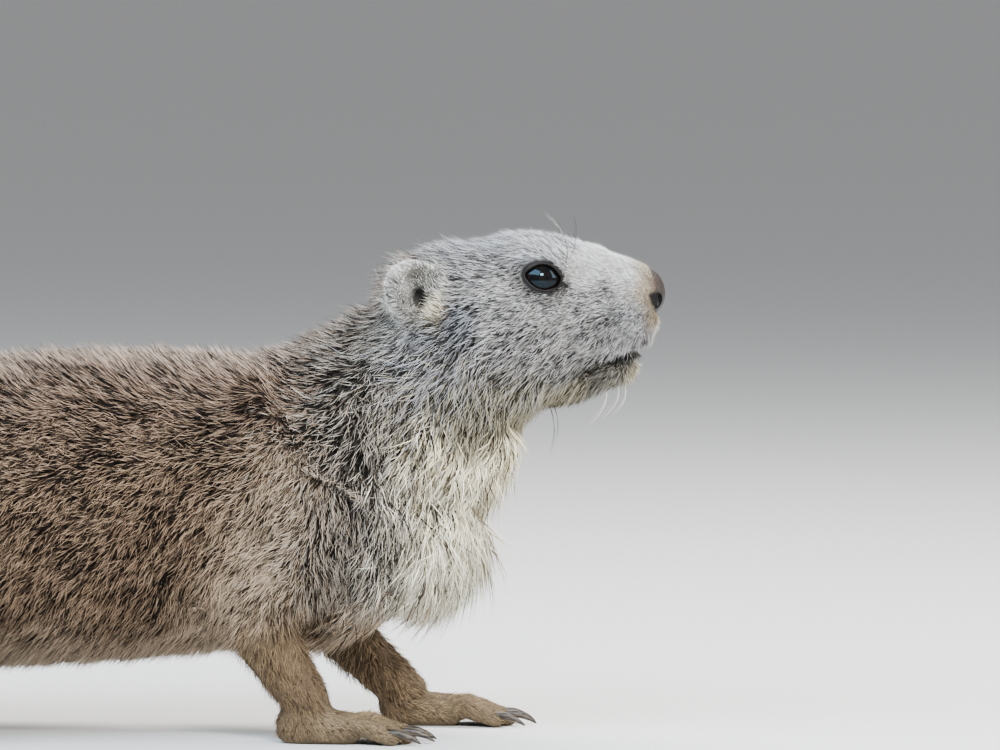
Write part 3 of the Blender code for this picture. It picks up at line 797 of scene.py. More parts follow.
GUIDES = (
    Guide((109, 4, 157), (-0.9, 0.1, 0.5), 2.2, 0.5, 20, TAN, HEAD),
    Guide((101, 4, 162), (-1, 0.1, 0.3), 2.8, 0.7, 20, FROST, HEAD),
    Guide((92, 3, 166), (-1, 0.05, 0.3), 3.3, 0.9, 20, FROST, HEAD),
    Guide((78, 6, 170), (-1, 0.1, 0.1), 4.3, 1.2, 20, SILVER, HEAD),
    Guide((60, 6, 171), (-1, 0.1, 0), 4.9, 1.44, 20, SILVER, HEAD),
    Guide((42, 8, 167), (-1, 0.1, -0.3), 6.4, 1.95, 22, SILVER, HEAD),
    Guide((25, 8, 161), (-1, 0.05, -0.6), *NECK, TOP, TRUNK),
    Guide((113, 2.5, 154), (-0.9, 0.2, 0.4), 1.3, 0.4, 22, SNOUT, HEAD),
    Guide((111.5, 6.5, 152.5), (-0.8, 0.5, 0.3), 1.4, 0.4, 22, SNOUT, HEAD),
    Guide((107, 9, 151), (-0.8, 0.5, 0), 2.4, 0.5, 20, TAN, HEAD),
    Guide((108, 7, 143), (-0.4, 0.6, -0.6), 2.6, 0.4, 22, TAN, HEAD),
    Guide((108.5, 3, 137), (0.35, 0.2, -0.9), 2.9, 0.5, 34, FROST, HEAD),
    Guide((104, 3, 124.5), (0.5, 0.1, -0.8), 3.2, 0.5, 34, TUFT, HEAD),
    Guide((103, 13, 142), (-0.8, 0.35, -0.4), 2.9, 0.7, 22, MUZZLE, HEAD),
    Guide((106, 6, 135), (-0.2, 0.3, -0.9), 3.1, 0.6, 26, MUZZLE, HEAD),
    Guide((99, 13, 133), (-0.7, 0.2, -0.7), 3.4, 0.8, 22, MUZZLE, HEAD),
    Guide((103, 5, 127), (-0.2, 0.2, -0.8), 3.2, 0.5, 30, LIP, HEAD),
    Guide((96, 9, 124), (-0.8, 0.15, -0.5), 4, 0.8, 22, LIP, HEAD),
    Guide((93, 15, 149), (-1, 0.3, -0.15), 3.4, 0.9, 20, GREY, HEAD),
    Guide((87, 16, 158), (-1, 0.3, 0.25), 3.1, 0.8, 20, FROST, HEAD),
    Guide((100, 11, 155), (-1, 0.3, 0.1), 3, 0.7, 20, FROST, HEAD),
    Guide((88, 19, 138), (-0.9, 0.25, -0.45), 4.7, 1.2, 20, GREY, HEAD),
    Guide((82, 20, 128), (-0.85, 0.2, -0.6), 4.9, 1.36, 22, GREY, HEAD),
    Guide((94, 4, 118), (-0.9, 0, -0.4), 5.5, 1.1, 24, LIP, HEAD),
    Guide((84, 9, 115), (-0.85, 0.1, -0.5), 5.2, 1.36, 26, OLIVE, HEAD),
    Guide((80, 24, 149), (-1, 0.2, -0.35), 3.1, 0.7, 18, GREY, HEAD),
    Guide((71, 26, 147), (-1, 0.2, -0.45), 3.6, 0.8, 20, GREY, HEAD),
    Guide((71, 21, 165), (-1, 0.25, 0.2), 3.4, 0.8, 22, SILVER, HEAD),
    Guide((62, 27, 157), (-1, 0.15, -0.2), 4, 1, 20, GREY, HEAD),
    Guide((58, 30, 144), (-0.9, 0.15, -0.5), 4.9, 1.44, 20, GREY, HEAD),
    Guide((70, 27, 132), (-0.8, 0.2, -0.65), 6, 1.7, 22, GREY, HEAD),
    Guide((54, 33, 128), (-0.75, 0.15, -0.75), 7.3, 2.3, 26, GREY, HEAD),
    Guide((68, 22, 114), (-0.6, 0.15, -0.8), 7.3, 2.3, 26, OLIVE, HEAD),
    Guide((50, 29, 110), (-0.6, 0.1, -0.9), 9.5, 2.8, 27, OLIVE, HEAD),
    Guide((36, 34, 127), (-0.75, 0.1, -0.75), 9.5, 2.8, 27, SLATE, HEAD),
    Guide((43, 31, 143), (-0.9, 0.1, -0.45), 5.3, 1.7, 20, SHADE, HEAD),
    Guide((48, 28, 156), (-1, 0.2, -0.1), 5.2, 1.4, 20, GREY, HEAD),
    Guide((32, 33, 139), (-0.8, 0.1, -0.65), 6.4, 2.04, 22, SHADE, HEAD),
    Guide((70, 5, 106), (-0.4, 0.1, -0.9), 8.5, 2.3, 26, CREAM, HEAD),
    Guide((18.5, 30, 154), (-0.8, 0.5, 0.2), 3.6, 0.4, 30, EAR_RIM, HEAD),
    Guide((21, 31, 160), (-0.6, 0.5, 0.6), 3.2, 0.3, 32, EAR_RIM, HEAD),
    Guide((29, 31, 162.5), (-0.3, 0.5, 0.8), 3, 0.3, 32, EAR_RIM, HEAD),
    Guide((37, 31, 159), (-0.2, 0.5, 0.7), 3, 0.3, 30, EAR_RIM, HEAD),
    Guide((22, 31, 147), (-0.8, 0.4, -0.3), 3.6, 0.4, 28, EAR_RIM, HEAD),
    Guide((23.5, 28, 153.5), (-0.8, 0.3, 0.5), 3.2, 0.1, 18, FROST, HEAD),
    # Inside the ear's cup: darker hair, as painted shade.
    Guide((30, 27, 157.5), (-0.5, 0.4, 0.8), 2.4, 0.1, 16, EAR_CUP, HEAD),
    Guide((22.5, 28.5, 149), (-0.9, 0.4, -0.1), 2.6, 0.1, 16, EAR_CUP, HEAD),
    Guide((36.5, 31, 145), (-0.5, 0.7, 0.5), 5.5, 0.3, 42, TUFT, HEAD),
    Guide((31, 31, 142.5), (-0.6, 0.5, -0.4), 4.5, 0.5, 32, EAR_RIM, HEAD),
    Guide((8, 8, 155), (-1, 0.05, -0.6), *NECK, TOP, TRUNK),
    Guide((8, 28, 143), (-0.8, 0.15, -0.7), *NECK, NAPE, TRUNK),
    Guide((16, 38, 124), (-0.6, 0.1, -0.85), *NECK, NAPE, TRUNK),
    Guide((20, 38, 105), (-0.35, 0.1, -1), *NECK, NAPE, TRUNK),
    Guide((2, 42, 108), (-0.6, 0.1, -0.8), *NECK, NAPE, TRUNK),
    Guide((38, 33, 100), (-0.2, 0.1, -1), 17, 4.2, 30, CREAM, THROAT),
    Guide((27, 36, 90), (-0.3, 0.1, -1), 14, 4.2, 32, MIXED, THROAT),
    Guide((36, 31, 80), (-0.15, 0.1, -1), 19, 3.2, 28, CREAM, THROAT),
    Guide((24, 35, 68), (-0.3, 0.1, -1), 15, 3.6, 30, MIXED, THROAT),
    Guide((59, 8, 100), (0, 0.1, -1), 18, 2, 36, CREAM, THROAT),
    Guide((56, 5, 92), (0.1, 0.05, -1), 21, 1.4, 34, WHITE, THROAT),
    Guide((49, 18, 86), (0, 0.15, -1), 21, 1.6, 30, WHITE, THROAT),
    Guide((48, 3, 74), (0, 0, -1), 22, 1.4, 26, WHITE, THROAT),
    Guide((38, 20, 66), (-0.2, 0.1, -1), 21, 2, 24, WHITE, THROAT),
    Guide((41, 3, 56), (-0.35, 0, -1), 19, 1.6, 22, WHITE, THROAT),
    Guide((22, 8, 42), (-0.8, 0, -0.8), 15, 3.5, 22, BUFF, THROAT),
    # The back's top: its grizzled hair, with a painted highlight of the light from above.
    Guide((-22, 6, 130), (-1, 0.05, -0.25), *BODY, TOP, TRUNK),
    Guide((-70, 6, 131), (-1, 0.05, 0), *BODY, TOP, TRUNK),
    Guide((-130, 6, 128), (-1, 0.05, -0.1), *BODY, TOP, TRUNK),
    Guide((-190, 6, 120), (-1, 0, -0.2), *BODY, TOP, TRUNK),
    Guide((-240, 6, 104), (-1, 0, -0.6), *BODY, BACK, TRUNK),
    Guide((-258, 6, 88), (-0.9, 0, -0.5), *BODY, BACK, TRUNK),
    Guide((-20, 32, 121), (-0.95, 0.1, -0.4), *BODY, BACK, TRUNK),
    Guide((-70, 36, 119), (-0.95, 0.1, -0.35), *BODY, BACK, TRUNK),
    Guide((-130, 40, 114), (-0.95, 0.1, -0.35), *BODY, BACK, TRUNK),
    Guide((-190, 40, 107), (-0.95, 0.1, -0.4), *BODY, BACK, TRUNK),
    Guide((-240, 34, 80), (-0.9, 0, -0.5), *BODY, BACK, TRUNK),
    Guide((-30, 46, 96), (-0.85, 0.05, -0.55), *BODY, FLANK, TRUNK),
    Guide((-70, 50, 84), (-0.85, 0, -0.55), *BODY, FLANK, TRUNK),
    Guide((-120, 54, 78), (-0.85, 0, -0.55), *BODY, FLANK, TRUNK),
    Guide((-52, 47, 66), (-0.7, 0, -0.75), *BODY, FLANK, TRUNK),
    Guide((-60, 44, 46), (-0.7, 0, -0.7), *BODY, FLANK, TRUNK),
    Guide((-110, 48, 48), (-0.8, 0, -0.6), *BODY, FLANK, TRUNK),
    Guide((-100, 20, 25), (-1, 0, -0.1), *BELLY, BUFF, TRUNK),
    Guide((-40, 15, 28), (-1, 0, -0.1), *BELLY, BUFF, TRUNK),
    Guide((-170, 12, 25), (-1, 0, 0), *BELLY, BUFF, TRUNK),
    Guide((-235, 12, 36), (-1, 0, 0.2), *BELLY, BUFF, TRUNK),
    Guide((-14, 46, 88), (-0.6, 0.05, -0.8), *BODY, BUFF, TRUNK),
    # These two paint the shade in the gap between the foreleg and the chest with NAPE's dark hair.
    Guide((8, 43, 74), (-0.3, 0.05, -1), *BODY, NAPE, TRUNK),
    Guide((2, 43, 60), (-0.3, 0.05, -1), *BODY, NAPE, TRUNK),
    Guide((-20, 47, 60), (-0.7, 0, -0.8), *BODY, BUFF, TRUNK),
    Guide((-14, 44, 44), (-0.5, 0, -0.9), *BELLY, BUFF, TRUNK, FORE),
    Guide((-4, 42, 30), (0, 0, -1), 5.5, 1.3, 24, LEG, LEGS, FORE),
    Guide((8, 40, 17), (0.4, 0, -0.9), 3.6, 0.7, 22, LEG, LEGS, FORE),
    Guide((22, 33, 12), (1, 0, -0.4), 3, 0.45, 20, FOOT, LEGS, FORE),
    Guide((37, 33, 8), (1, 0, -0.4), 2.2, 0.3, 20, FOOT, LEGS, FORE),
    Guide((-190, 57, 84), (-0.85, 0.05, -0.55), *BODY, FLANK, TRUNK, HIND),
    Guide((-150, 55, 66), (-0.75, 0, -0.7), *BODY, FLANK, TRUNK, HIND),
    Guide((-212, 52, 60), (-0.8, 0, -0.6), *BODY, FLANK, TRUNK, HIND),
    Guide((-160, 54, 46), (-0.6, 0, -0.8), *BELLY, BUFF, TRUNK, HIND),
    Guide((-175, 50, 28), (-0.8, 0, -0.5), 5.5, 1.3, 24, LEG, LEGS, HIND),
    Guide((-195, 46, 13), (-0.5, 0, -0.4), 3.6, 0.7, 22, FOOT, LEGS, HIND),
    Guide((-165, 42, 12), (1, 0, -0.2), 3, 0.45, 20, FOOT, LEGS, HIND),
    Guide((-145, 41, 8), (1, 0, -0.4), 2.2, 0.3, 20, FOOT, LEGS, HIND),
    Guide((-276, 9, 70), (-0.92, 0, -0.39), 18, 2, 24, BRUSH, TAIL),
    Guide((-276, 9, 56), (-0.92, 0, -0.39), 18, 2, 24, BRUSH, TAIL),
    Guide((-300, 8, 56), (-0.92, 0, -0.39), 25, 0, 30, BRUSH, TAIL),
    Guide((-325, 7, 46), (-0.92, 0, -0.39), 29, 0, 31, BRUSH, TAIL),
    Guide((-345, 6, 38), (-0.92, 0, -0.36), 29, 0, 28, TIP, TAIL),
    Guide((-360, 3, 32), (-0.92, 0, -0.34), 28, 0, 16, TIP, TAIL),
)


WAVE_COUNT = 7
WAVE_SPREAD = (0.6, 1.6)  # how much finer or coarser than asked a wave may be
WAVE_SUM = 2.6  # brings their sum to about 1


def waves(points: Array, size: float, seed: int) -> Array:
    """Smooth noise between about -1 and 1.

    Args:
        points: Places, in millimetres.
        size: About how large its spots are, in millimetres.
        seed: Gives each use its own pattern.

    Returns:
        One number for each place.
    """
    draws = np.random.default_rng(seed)
    total = np.zeros(len(points))
    for _ in range(WAVE_COUNT):
        way = draws.normal(size=3)
        way *= draws.uniform(*WAVE_SPREAD) * math.pi / size / np.linalg.norm(way)
        total += np.sin(points @ way + draws.uniform(0, 2 * math.pi))
    return total / WAVE_SUM


def mirrored(points: Array) -> Array:
    """Places of the right side, moved to the left."""
    return np.column_stack([points[:, 0], np.abs(points[:, 1]), points[:, 2]])


def gape_height(x: Array) -> Array:
    """The height of the mouth's line at each place along the head."""
    return MOUTH_CORNER[1] + (x - MOUTH_CORNER[0]) * MOUTH_SLOPE


def rising(value: Array, start: float, end: float) -> Array:
    """Rises smoothly from 0 at the start to 1 at the end."""
    share = np.clip((value - start) / (end - start), 0, 1)
    return share * share * (3 - 2 * share)


def band(value: Array, start: float, full: float, fade: float, end: float) -> Array:
    """Rises smoothly from 0 at the start to 1 at full, and falls back to 0 from fade to end."""
    return rising(value, start, full) * (1 - rising(value, fade, end))


def oval(points: Array, radii: Pair, middle: Pair = (0, 0)) -> Array:
    """How far places lie from an oval's middle, in its half sizes, by their first two numbers."""
    off = (points[:, :2] - middle) / radii
    return np.hypot(off[:, 0], off[:, 1])


def from_pad(points: Array) -> Array:
    """How far places lie from the middle of the nose pad, in its half sizes."""
    return np.linalg.norm((points - PAD_PLACE) / PAD_RADII, axis=1)


class EyeFrame:
    """The left eye's own axes: forward along the lids, up across them, and out.

    YAW turns it forward, RISE turns it up and TILT lowers its front corner, in degrees.
    """

    YAW, RISE, TILT = 12.0, 8.0, 10.0

    @classmethod
    def axes(cls) -> tuple[Vector, Vector, Vector]:
        """Works the axes out.

        Returns:
            The forward, upward and outward directions.
        """
        yaw, rise, tilt = (math.radians(a) for a in (cls.YAW, cls.RISE, -cls.TILT))
        flat = math.cos(rise)
        out = Vector((math.sin(yaw) * flat, math.cos(yaw) * flat, math.sin(rise)))
        ahead = Vector((math.cos(yaw), -math.sin(yaw), 0))
        upward = ahead.cross(out).normalized()
        forward = ahead * math.cos(tilt) + upward * math.sin(tilt)
        up = upward * math.cos(tilt) - ahead * math.sin(tilt)
        return forward, up, out

    @classmethod
    def seen(cls, points: Array) -> Array:
        """Places of the tables in the axes of the eye on their own side."""
        return (mirrored(points) - EYE_PLACE) @ np.array(cls.axes()).T


@dataclass
class Growth:
    """What the guides give at many places, as one row for each place."""

    way: Array
    length: Array
    depth: Array
    rise: Array
    light: Array
    dark: Array
    share: Array
    under: Array
    zone: Array


class GrowthMap:
    """Blends the guides over the whole animal.

    Args:
        guides: The guides of the left side.
    """

    CHUNK = 20000  # how many places are read at a time
    BLUR = 8  # square millimetres that keep a guide from a sharp peak
    FALL = 3  # how fast a guide's say falls with the square of the distance

    def __init__(self, guides: Sequence[Guide]) -> None:
        """Sets the guides out on both sides."""
        places, ways, rows, zones = [], [], [], []
        for guide in guides:
            for side, lead in zip((1, -1), guide.lead.value):
                x, y, z = guide.place
                places.append((x + lead, y * side, z))
                ways.append((guide.way[0], guide.way[1] * side, guide.way[2]))
                tone = guide.tone
                colours = [*linear(tone.light), *linear(tone.dark), *linear(tone.under)]
                rows.append([guide.length, guide.depth, guide.rise, tone.share, *colours])
                zones.append(list(Zone).index(guide.zone))
        self.places = np.array(places, np.float32)
        self.ways = np.array(ways, np.float32)
        self.ways /= np.linalg.norm(self.ways, axis=1, keepdims=True)
        self.rows = np.array(rows, np.float32)
        self.zones = np.array(zones)

    def at(self, points: Array) -> Growth:
        """Reads the map.

        Args:
            points: Places in the frame of the tables.

        Returns:
            The coat's growth there.
        """
        ways, rows, zones = [], [], []
        for start in range(0, len(points), self.CHUNK):
            part = points[start : start + self.CHUNK].astype(np.float32)
            apart = ((part[:, None, :] - self.places[None]) ** 2).sum(2)
            weight = 1 / (apart + self.BLUR) ** self.FALL
            weight /= weight.sum(1, keepdims=True)
            ways.append(weight @ self.ways)
            rows.append(weight @ self.rows)
            zones.append(self.zones[apart.argmin(1)])
        way, row = np.vstack(ways), np.vstack(rows)
        light, dark, under = row[:, 4:7], row[:, 7:10], row[:, 10:13]
        return Growth(
            way, row[:, 0], row[:, 1], row[:, 2], light, dark, row[:, 3], under, np.hstack(zones)
        )


@dataclass
class Markings:
    """The coat's colours at any place, the same for the skin and for the tufts.

    Args:
        growth: The map that gives the tones.
        patch: Size of the paler and darker patches, in millimetres.
    """

    growth: GrowthMap
    patch: float = 13.0

    # The share of light hairs: stretch and depth of patches and streaks, and its limits.
    PATCH_STRETCH, PATCH_DEPTH = (1, 1.4, 1.4), 0.05
    STREAK_STRETCH, STREAK_DEPTH = (0.45, 1, 1), 0.10
    SHARE_LIMITS = (0.03, 0.97)
    LIGHT_EDGE = (-0.2, 0.14)

    # The dark marks, and the painted shade of gape, ear's opening and nose: half sizes, and where
    # each one fades, in millimetres or in half sizes.
    GAPE_EDGE, GAPE_REACH = (0.4, 1.2), (88, 98, 108, 112)
    LID_RADII, LID_EDGE, LID_OUT = (7.6, 5.8), (0.96, 1.08), (0, 2)
    CORNER_PLACE, CORNER_RADII = (8.6, -0.9), (2.6, 1.1)
    ROW_SLOPE, ROW_GAP = 0.15, 3.1
    SPOT_SLOPE, SPOT_GAP = 0.4, 3.6
    BED_EDGE, BED_REACH, BED_HEIGHT = (0.25, 0.75), (90, 95, 104, 107), (131, 135, 146, 150)
    CANAL_RADII, CANAL_EDGE, CANAL_SIDE = (2.9, 4.9), (0.75, 1.25), (20, 24)
    PAD_EDGE, PAD_FRONT, PAD_TOP = (1, 1.08), (107.6, 108.6), (150, 151.5)
    LID_DARK, BED_DARK, SKIN_DARK, HAIR_DARK = 0.97, 0.6, 0.95, 0.93

    # How much of the hair's and the under coat's colours the skin, the roots and the tips have.
    SKIN_HAIR, ROOT_HAIR, UNDER = 0.25, 0.08, 0.7
    SHADES = (0.82, 1.15)
    TICKED, TICK, TIP = 0.2, 0.85, 1.08

    def share(self, points: Array, growth: Growth) -> Array:
        """How many of the hairs are light, with patches and streaks.

        Args:
            points: Places in the frame of the tables.
            growth: The map read there.

        Returns:
            The share at each place.
        """
        patches = waves(points * self.PATCH_STRETCH, self.patch, seed=3) * self.PATCH_DEPTH
        streaks = waves(points * self.STREAK_STRETCH, self.patch / 3, seed=4) * self.STREAK_DEPTH
        return np.clip(growth.share + patches + streaks, *self.SHARE_LIMITS)

    def marks_and_painted_shade(self, points: Array) -> Array:
        """The dark marks of lids and whiskers' beds, and painted shade in the gape, in the ear's
        opening and under the front of the nose pad.

        Args:
            points: Places in the frame of the tables.

        Returns:
            How dark each place is, from 0 to 1.
        """
        x, y, z = points[:, 0], np.abs(points[:, 1]), points[:, 2]
        # The gape: painted shade in the mouth's slit.
        gape = 1 - rising(np.abs(z - gape_height(x)), *self.GAPE_EDGE)
        gape = gape * band(x, *self.GAPE_REACH)
        eye = EyeFrame.seen(points)
        corner = oval(eye, self.CORNER_RADII, self.CORNER_PLACE)
        around_eye = np.minimum(oval(eye, self.LID_RADII), corner)
        lids = (1 - rising(around_eye, *self.LID_EDGE)) * rising(eye[:, 2], *self.LID_OUT)
        rows = np.abs(np.sin((z - self.ROW_SLOPE * x) * math.pi / self.ROW_GAP))
        spots = np.abs(np.sin((x + self.SPOT_SLOPE * z) * math.pi / self.SPOT_GAP))
        beds = 1 - rising(rows + spots, *self.BED_EDGE)
        beds = beds * band(x, *self.BED_REACH) * band(z, *self.BED_HEIGHT)
        # The ear's opening: painted shade inside the canal.
        ear = oval(points[:, [0, 2]], self.CANAL_RADII, (EAR_CANAL[0], EAR_CANAL[2]))
        canal = (1 - rising(ear, *self.CANAL_EDGE)) * rising(y, *self.CANAL_SIDE)
        # Under the nose pad: its own dark skin, with painted shade under its front.
        pad = (1 - rising(from_pad(points), *self.PAD_EDGE)) * rising(x, *self.PAD_FRONT)
        pad = pad * (1 - rising(z, *self.PAD_TOP))
        marks = [gape, lids * self.LID_DARK, beds * self.BED_DARK, canal, pad]
        return np.clip(np.maximum.reduce(marks), 0, 1)

    def skin(self, points: Array) -> Array:
        """Colours the skin.

        Args:
            points: Places in the frame of the tables.

        Returns:
            A colour for each place.
        """
        growth = self.growth.at(points)
        share = self.share(points, growth)[:, None]
        hairs = growth.light * share + growth.dark * (1 - share)
        colour = hairs * self.SKIN_HAIR + growth.under * self.UNDER
        # Darkened by the dark marks, and by the painted shade of gape, ear's opening and nose.
        return colour * (1 - self.SKIN_DARK * self.marks_and_painted_shade(points)[:, None])

    def lightness(self, points: Array, growth: Growth, draws: np.random.Generator) -> Array:
        """Picks light and dark tufts: 1 is a light one, 0 a dark one.

        Args:
            points: The tufts' roots.
            growth: The map read there.
            draws: The source of chance.

        Returns:
            A value for each tuft.
        """
        chance = draws.random(len(points))
        return rising(self.share(points, growth) - chance, *self.LIGHT_EDGE)

    def tufts(
        self, points: Array, growth: Growth, lightness: Array, draws: np.random.Generator
    ) -> list[Array]:
        """The colours of each tuft.

        Args:
            points: The tufts' roots.
            growth: The map read there.
            lightness: How light each tuft is.
            draws: The source of chance.

        Returns:
            The colours at the root, the middle and the tip.
        """
        count = len(points)
        lightness = lightness[:, None]
        hair = growth.light * lightness + growth.dark * (1 - lightness)
        hair = hair * draws.uniform(*self.SHADES, (count, 1))
        ticked = ((draws.random(count) < self.TICKED) & (lightness[:, 0] < 0.5))[:, None]
        tip = np.where(ticked, growth.light * self.TICK, hair * self.TIP)
        root = growth.under * self.UNDER + hair * self.ROOT_HAIR
        # Darkened by the dark marks, and by the painted shade of gape, ear's opening and nose.
        marks_and_shade = 1 - self.HAIR_DARK * self.marks_and_painted_shade(points)[:, None]
        return [root * marks_and_shade, hair * marks_and_shade, tip * marks_and_shade]


# The skin.


class Form(NamedTuple):
    """An ellipsoid of flesh: its middle, its half sizes and the degrees that its front rises."""

    place: Triple
    radii: Triple
    pitch: float = 0.0


NECK_FORMS = (
    Form((-20, 0, 79.75), (66, 44, 50)),
    Form((-36, 0, 82), (38, 43, 42), 19),
    Form((-17, 0, 89.5), (31, 45, 41), 20),
    Form((-2, 0, 94), (34, 40, 41), 25),
    Form((12.5, 0, 103), (32, 37.5, 39.3), 32),
    Form((27, 0, 113), (30, 34, 37), 38),
    Form((39, 0, 124), (29, 31, 34), 42),
    Form((50, 0, 136), (26, 28, 31), 45),
    Form((22.5, 0, 74), (26, 30, 31), 26),
    Form((50, 0, 108), (17, 19, 12), 18),
    Form((44, 17.5, 124), (21, 16, 20)),
    Form((44, -17.5, 124), (21, 16, 20)),
)
LIP_FORMS = (
    Form((93, 0, 125.9), (8.5, 9.5, 2.9), 18),
    Form((98.6, 0, 125.3), (4.9, 6.4, 3.4), 12),
)
TAIL_LINE = (  # x, z and radius
    (-246, 76, 21),
    (-268, 68.5, 15),
    (-292, 58.5, 10),
    (-320, 47, 8.4),
    (-341, 38.8, 7),
    (-356, 33.4, 4.8),
    (-363, 31, 2.6),
)


class Fold(NamedTuple):
    """A fold of the skin, or a ridge where the depth is less than 0: its middle and half width."""

    depth: float
    middle: float
    width: float

    def at(self, off: Array) -> Array:
        """How far the skin goes in, in millimetres."""
        return self.depth * np.exp(-(((off - self.middle) / self.width) ** 2))


@dataclass
class Skin:
    """The one skin under the coat, from the nose to the tail.

    Args:
        drawing: The frame of the tables.
        growth: The map that gives the coat's depth.
        markings: The coat's colours.
        voxel: The grid that melts the forms into one, in millimetres.
        coarse: The grid that melts the trunk and the neck first, in millimetres.
        swell: What the smoothing of those two takes off, in millimetres.
        detail: Steps round the ellipsoids.
        triangles: How many it ends with.
    """

    drawing: Drawing
    growth: GrowthMap
    markings: Markings
    voxel: float = 0.6
    coarse: float = 2.5
    swell: float = 0.55
    detail: int = 48
    triangles: int = 170000
    obj: bpy.types.Object = field(init=False)

    # The left ear: middle, turn in degrees, half sizes, and shift and half sizes of its hollows.
    EAR = (29.3, 27.0, 152.0)
    EAR_TURN = (4, 8, -30)
    EAR_OUTER = (11.0, 6.4, 10.2)
    EAR_CUP = ((0.9, 5.0, -0.5), (9.4, 5.4, 8.7))
    EAR_HOLE = ((1.7, 1.5, -3.4), (2.5, 6.0, 4.6))

    # The map's sharpest bend in degrees, and the gap between its patches.
    MAP_ANGLE, MAP_GAP = 75, 0.002

    # Steps along the tail and round it.
    TAIL_STEPS, TAIL_DETAIL = 40, 24

    # How often each smoothing runs: on the trunk's forms, on the trunk, before and after sinking.
    SMOOTH_FORMS, SMOOTH_TRUNK, SMOOTH_BEFORE, SMOOTH_AFTER = 30, 40, 4, 3

    # Where the trunk's smoothing ends: along a slanting line to the head, and above the feet.
    HEAD_LINE, HEAD_EDGE, FEET_EDGE = (0.8, 0.6), (90, 106), (34, 54)

    # Where the coat's depth starts over the sole, and its share and reach round the eye.
    SOLE_EDGE, EYE_SHARE, EYE_EDGE = (0.2, 5), 0.25, (9.5, 13)

    # Where the skin is drawn in behind the nose pad, and how far, in half sizes of the pad.
    PAD_EDGE, PAD_FRONT, PAD_TOP, PAD_INSIDE = (1.15, 1.45), (106.4, 109.2), (149.8, 151.6), 0.9

    # The folds of mouth and lids, whose distances are in millimetres and in half sizes of an oval.
    MOUTH_REACH, SLIT, LIPS = (84, 90, 110, 114), Fold(2.0, 0, 0.8), Fold(-0.6, 2.2, 1.1)
    LID_RADII, LID_OUT = (7.2, 5.5), (0, 2)
    CREASE, POUCH = Fold(0.5, 1.38, 0.09), Fold(-0.5, 1.14, 0.10)

    @staticmethod
    def covered() -> list[str]:
        """The solids of flesh that the skin stands for."""
        kinds = ("torso", "neck", "head", "tail", "leg_", "paw_", "ear_")
        return sorted(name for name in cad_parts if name.startswith(kinds))

    def ear(self, side: int) -> bpy.types.Object:
        """One ear: a thick-rimmed cup with the canal in its lower front.

        Args:
            side: 1 for the left, -1 for the right.

        Returns:
            The ear.
        """
        turn = (self.EAR_TURN[0] * side, self.EAR_TURN[1], self.EAR_TURN[2] * side)
        axes = Euler([math.radians(a) for a in turn]).to_matrix()

        def form(shift: Triple, radii: Triple) -> bpy.types.Object:
            """An ellipsoid set in the ear's own axes.

            Args:
                shift: Its place from the ear's middle.
                radii: Its half sizes.

            Returns:
                The ellipsoid.
            """
            off = axes @ Vector((shift[0], shift[1] * side, shift[2]))
            middle = np.array(self.EAR) * (1, side, 1) + np.array(off)
            return ball("ear_form", self.drawing.to_model(middle), radii, turn, self.detail)

        whole = form((0, 0, 0), self.EAR_OUTER)
        return carved(whole, [form(*self.EAR_CUP), form(*self.EAR_HOLE)])

    def flesh(self, form: Form) -> bpy.types.Object:
        """One ellipsoid of flesh."""
        place = self.drawing.to_model(form.place)
        return ball("flesh", place, form.radii, (0, -form.pitch, 0), self.detail)

    def trunk(self) -> bpy.types.Object:
        """The trunk and the neck, melted together so that no edge is left between them.

        Returns:
            The melted form.
        """
        parts = [copy_of_solid("torso"), *(self.flesh(form) for form in NECK_FORMS)]
        trunk = joined("trunk", parts)
        finished_with(trunk, "REMESH", mode="VOXEL", voxel_size=self.coarse * MM)
        smoothed(trunk, self.SMOOTH_FORMS)
        finished_with(trunk, "DISPLACE", strength=self.swell * MM, mid_level=0)
        finished_with(trunk, "SUBSURF", levels=2)
        return trunk

    def forms(self) -> list[bpy.types.Object]:
        """Makes all that the skin is melted from.

        Returns:
            The solids without locks, the ears, and the flesh under the neck's and tail's locks.
        """
        again = ("torso", "neck", "tail", "ear_left", "ear_right")
        made = [copy_of_solid(name) for name in self.covered() if name not in again]
        made += [self.trunk(), *(self.ear(side) for side in (1, -1))]
        made += [self.flesh(form) for form in LIP_FORMS]
        line = np.array(TAIL_LINE, float)
        for step in np.linspace(0, len(line) - 1, self.TAIL_STEPS):
            x, z, radius = (np.interp(step, range(len(line)), line[:, k]) for k in range(3))
            place = self.drawing.to_model((x, 0, z))
            radii = (radius, radius, radius)
            made.append(ball("flesh", place, radii, detail=self.TAIL_DETAIL))
        return made

    def build(self) -> "Skin":
        """Makes the skin and paints it.

        Returns:
            This skin, with its object.
        """
        self.obj = joined("skin", self.forms())
        finished_with(self.obj, "REMESH", mode="VOXEL", voxel_size=self.voxel * MM)
        self.soften()
        smoothed(self.obj, self.SMOOTH_BEFORE)
        self.sink()
        smoothed(self.obj, self.SMOOTH_AFTER)
        count = len(triangles_of(self.obj.data))
        finished_with(self.obj, "DECIMATE", ratio=min(1.0, self.triangles / count))
        self.unwrap()
        paint_vertices(self.obj.data, self.markings.skin(self.places()))
        self.obj.data.materials.append(SkinFinish().material())
        smooth_shaded(self.obj)
        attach(self.obj, "root")
        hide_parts(*self.covered())
        return self

    def places(self) -> Array:
        """The places of its corners, in the frame of the tables."""
        return self.drawing.to_table(numbers(self.obj.data.vertices, "co", 3))

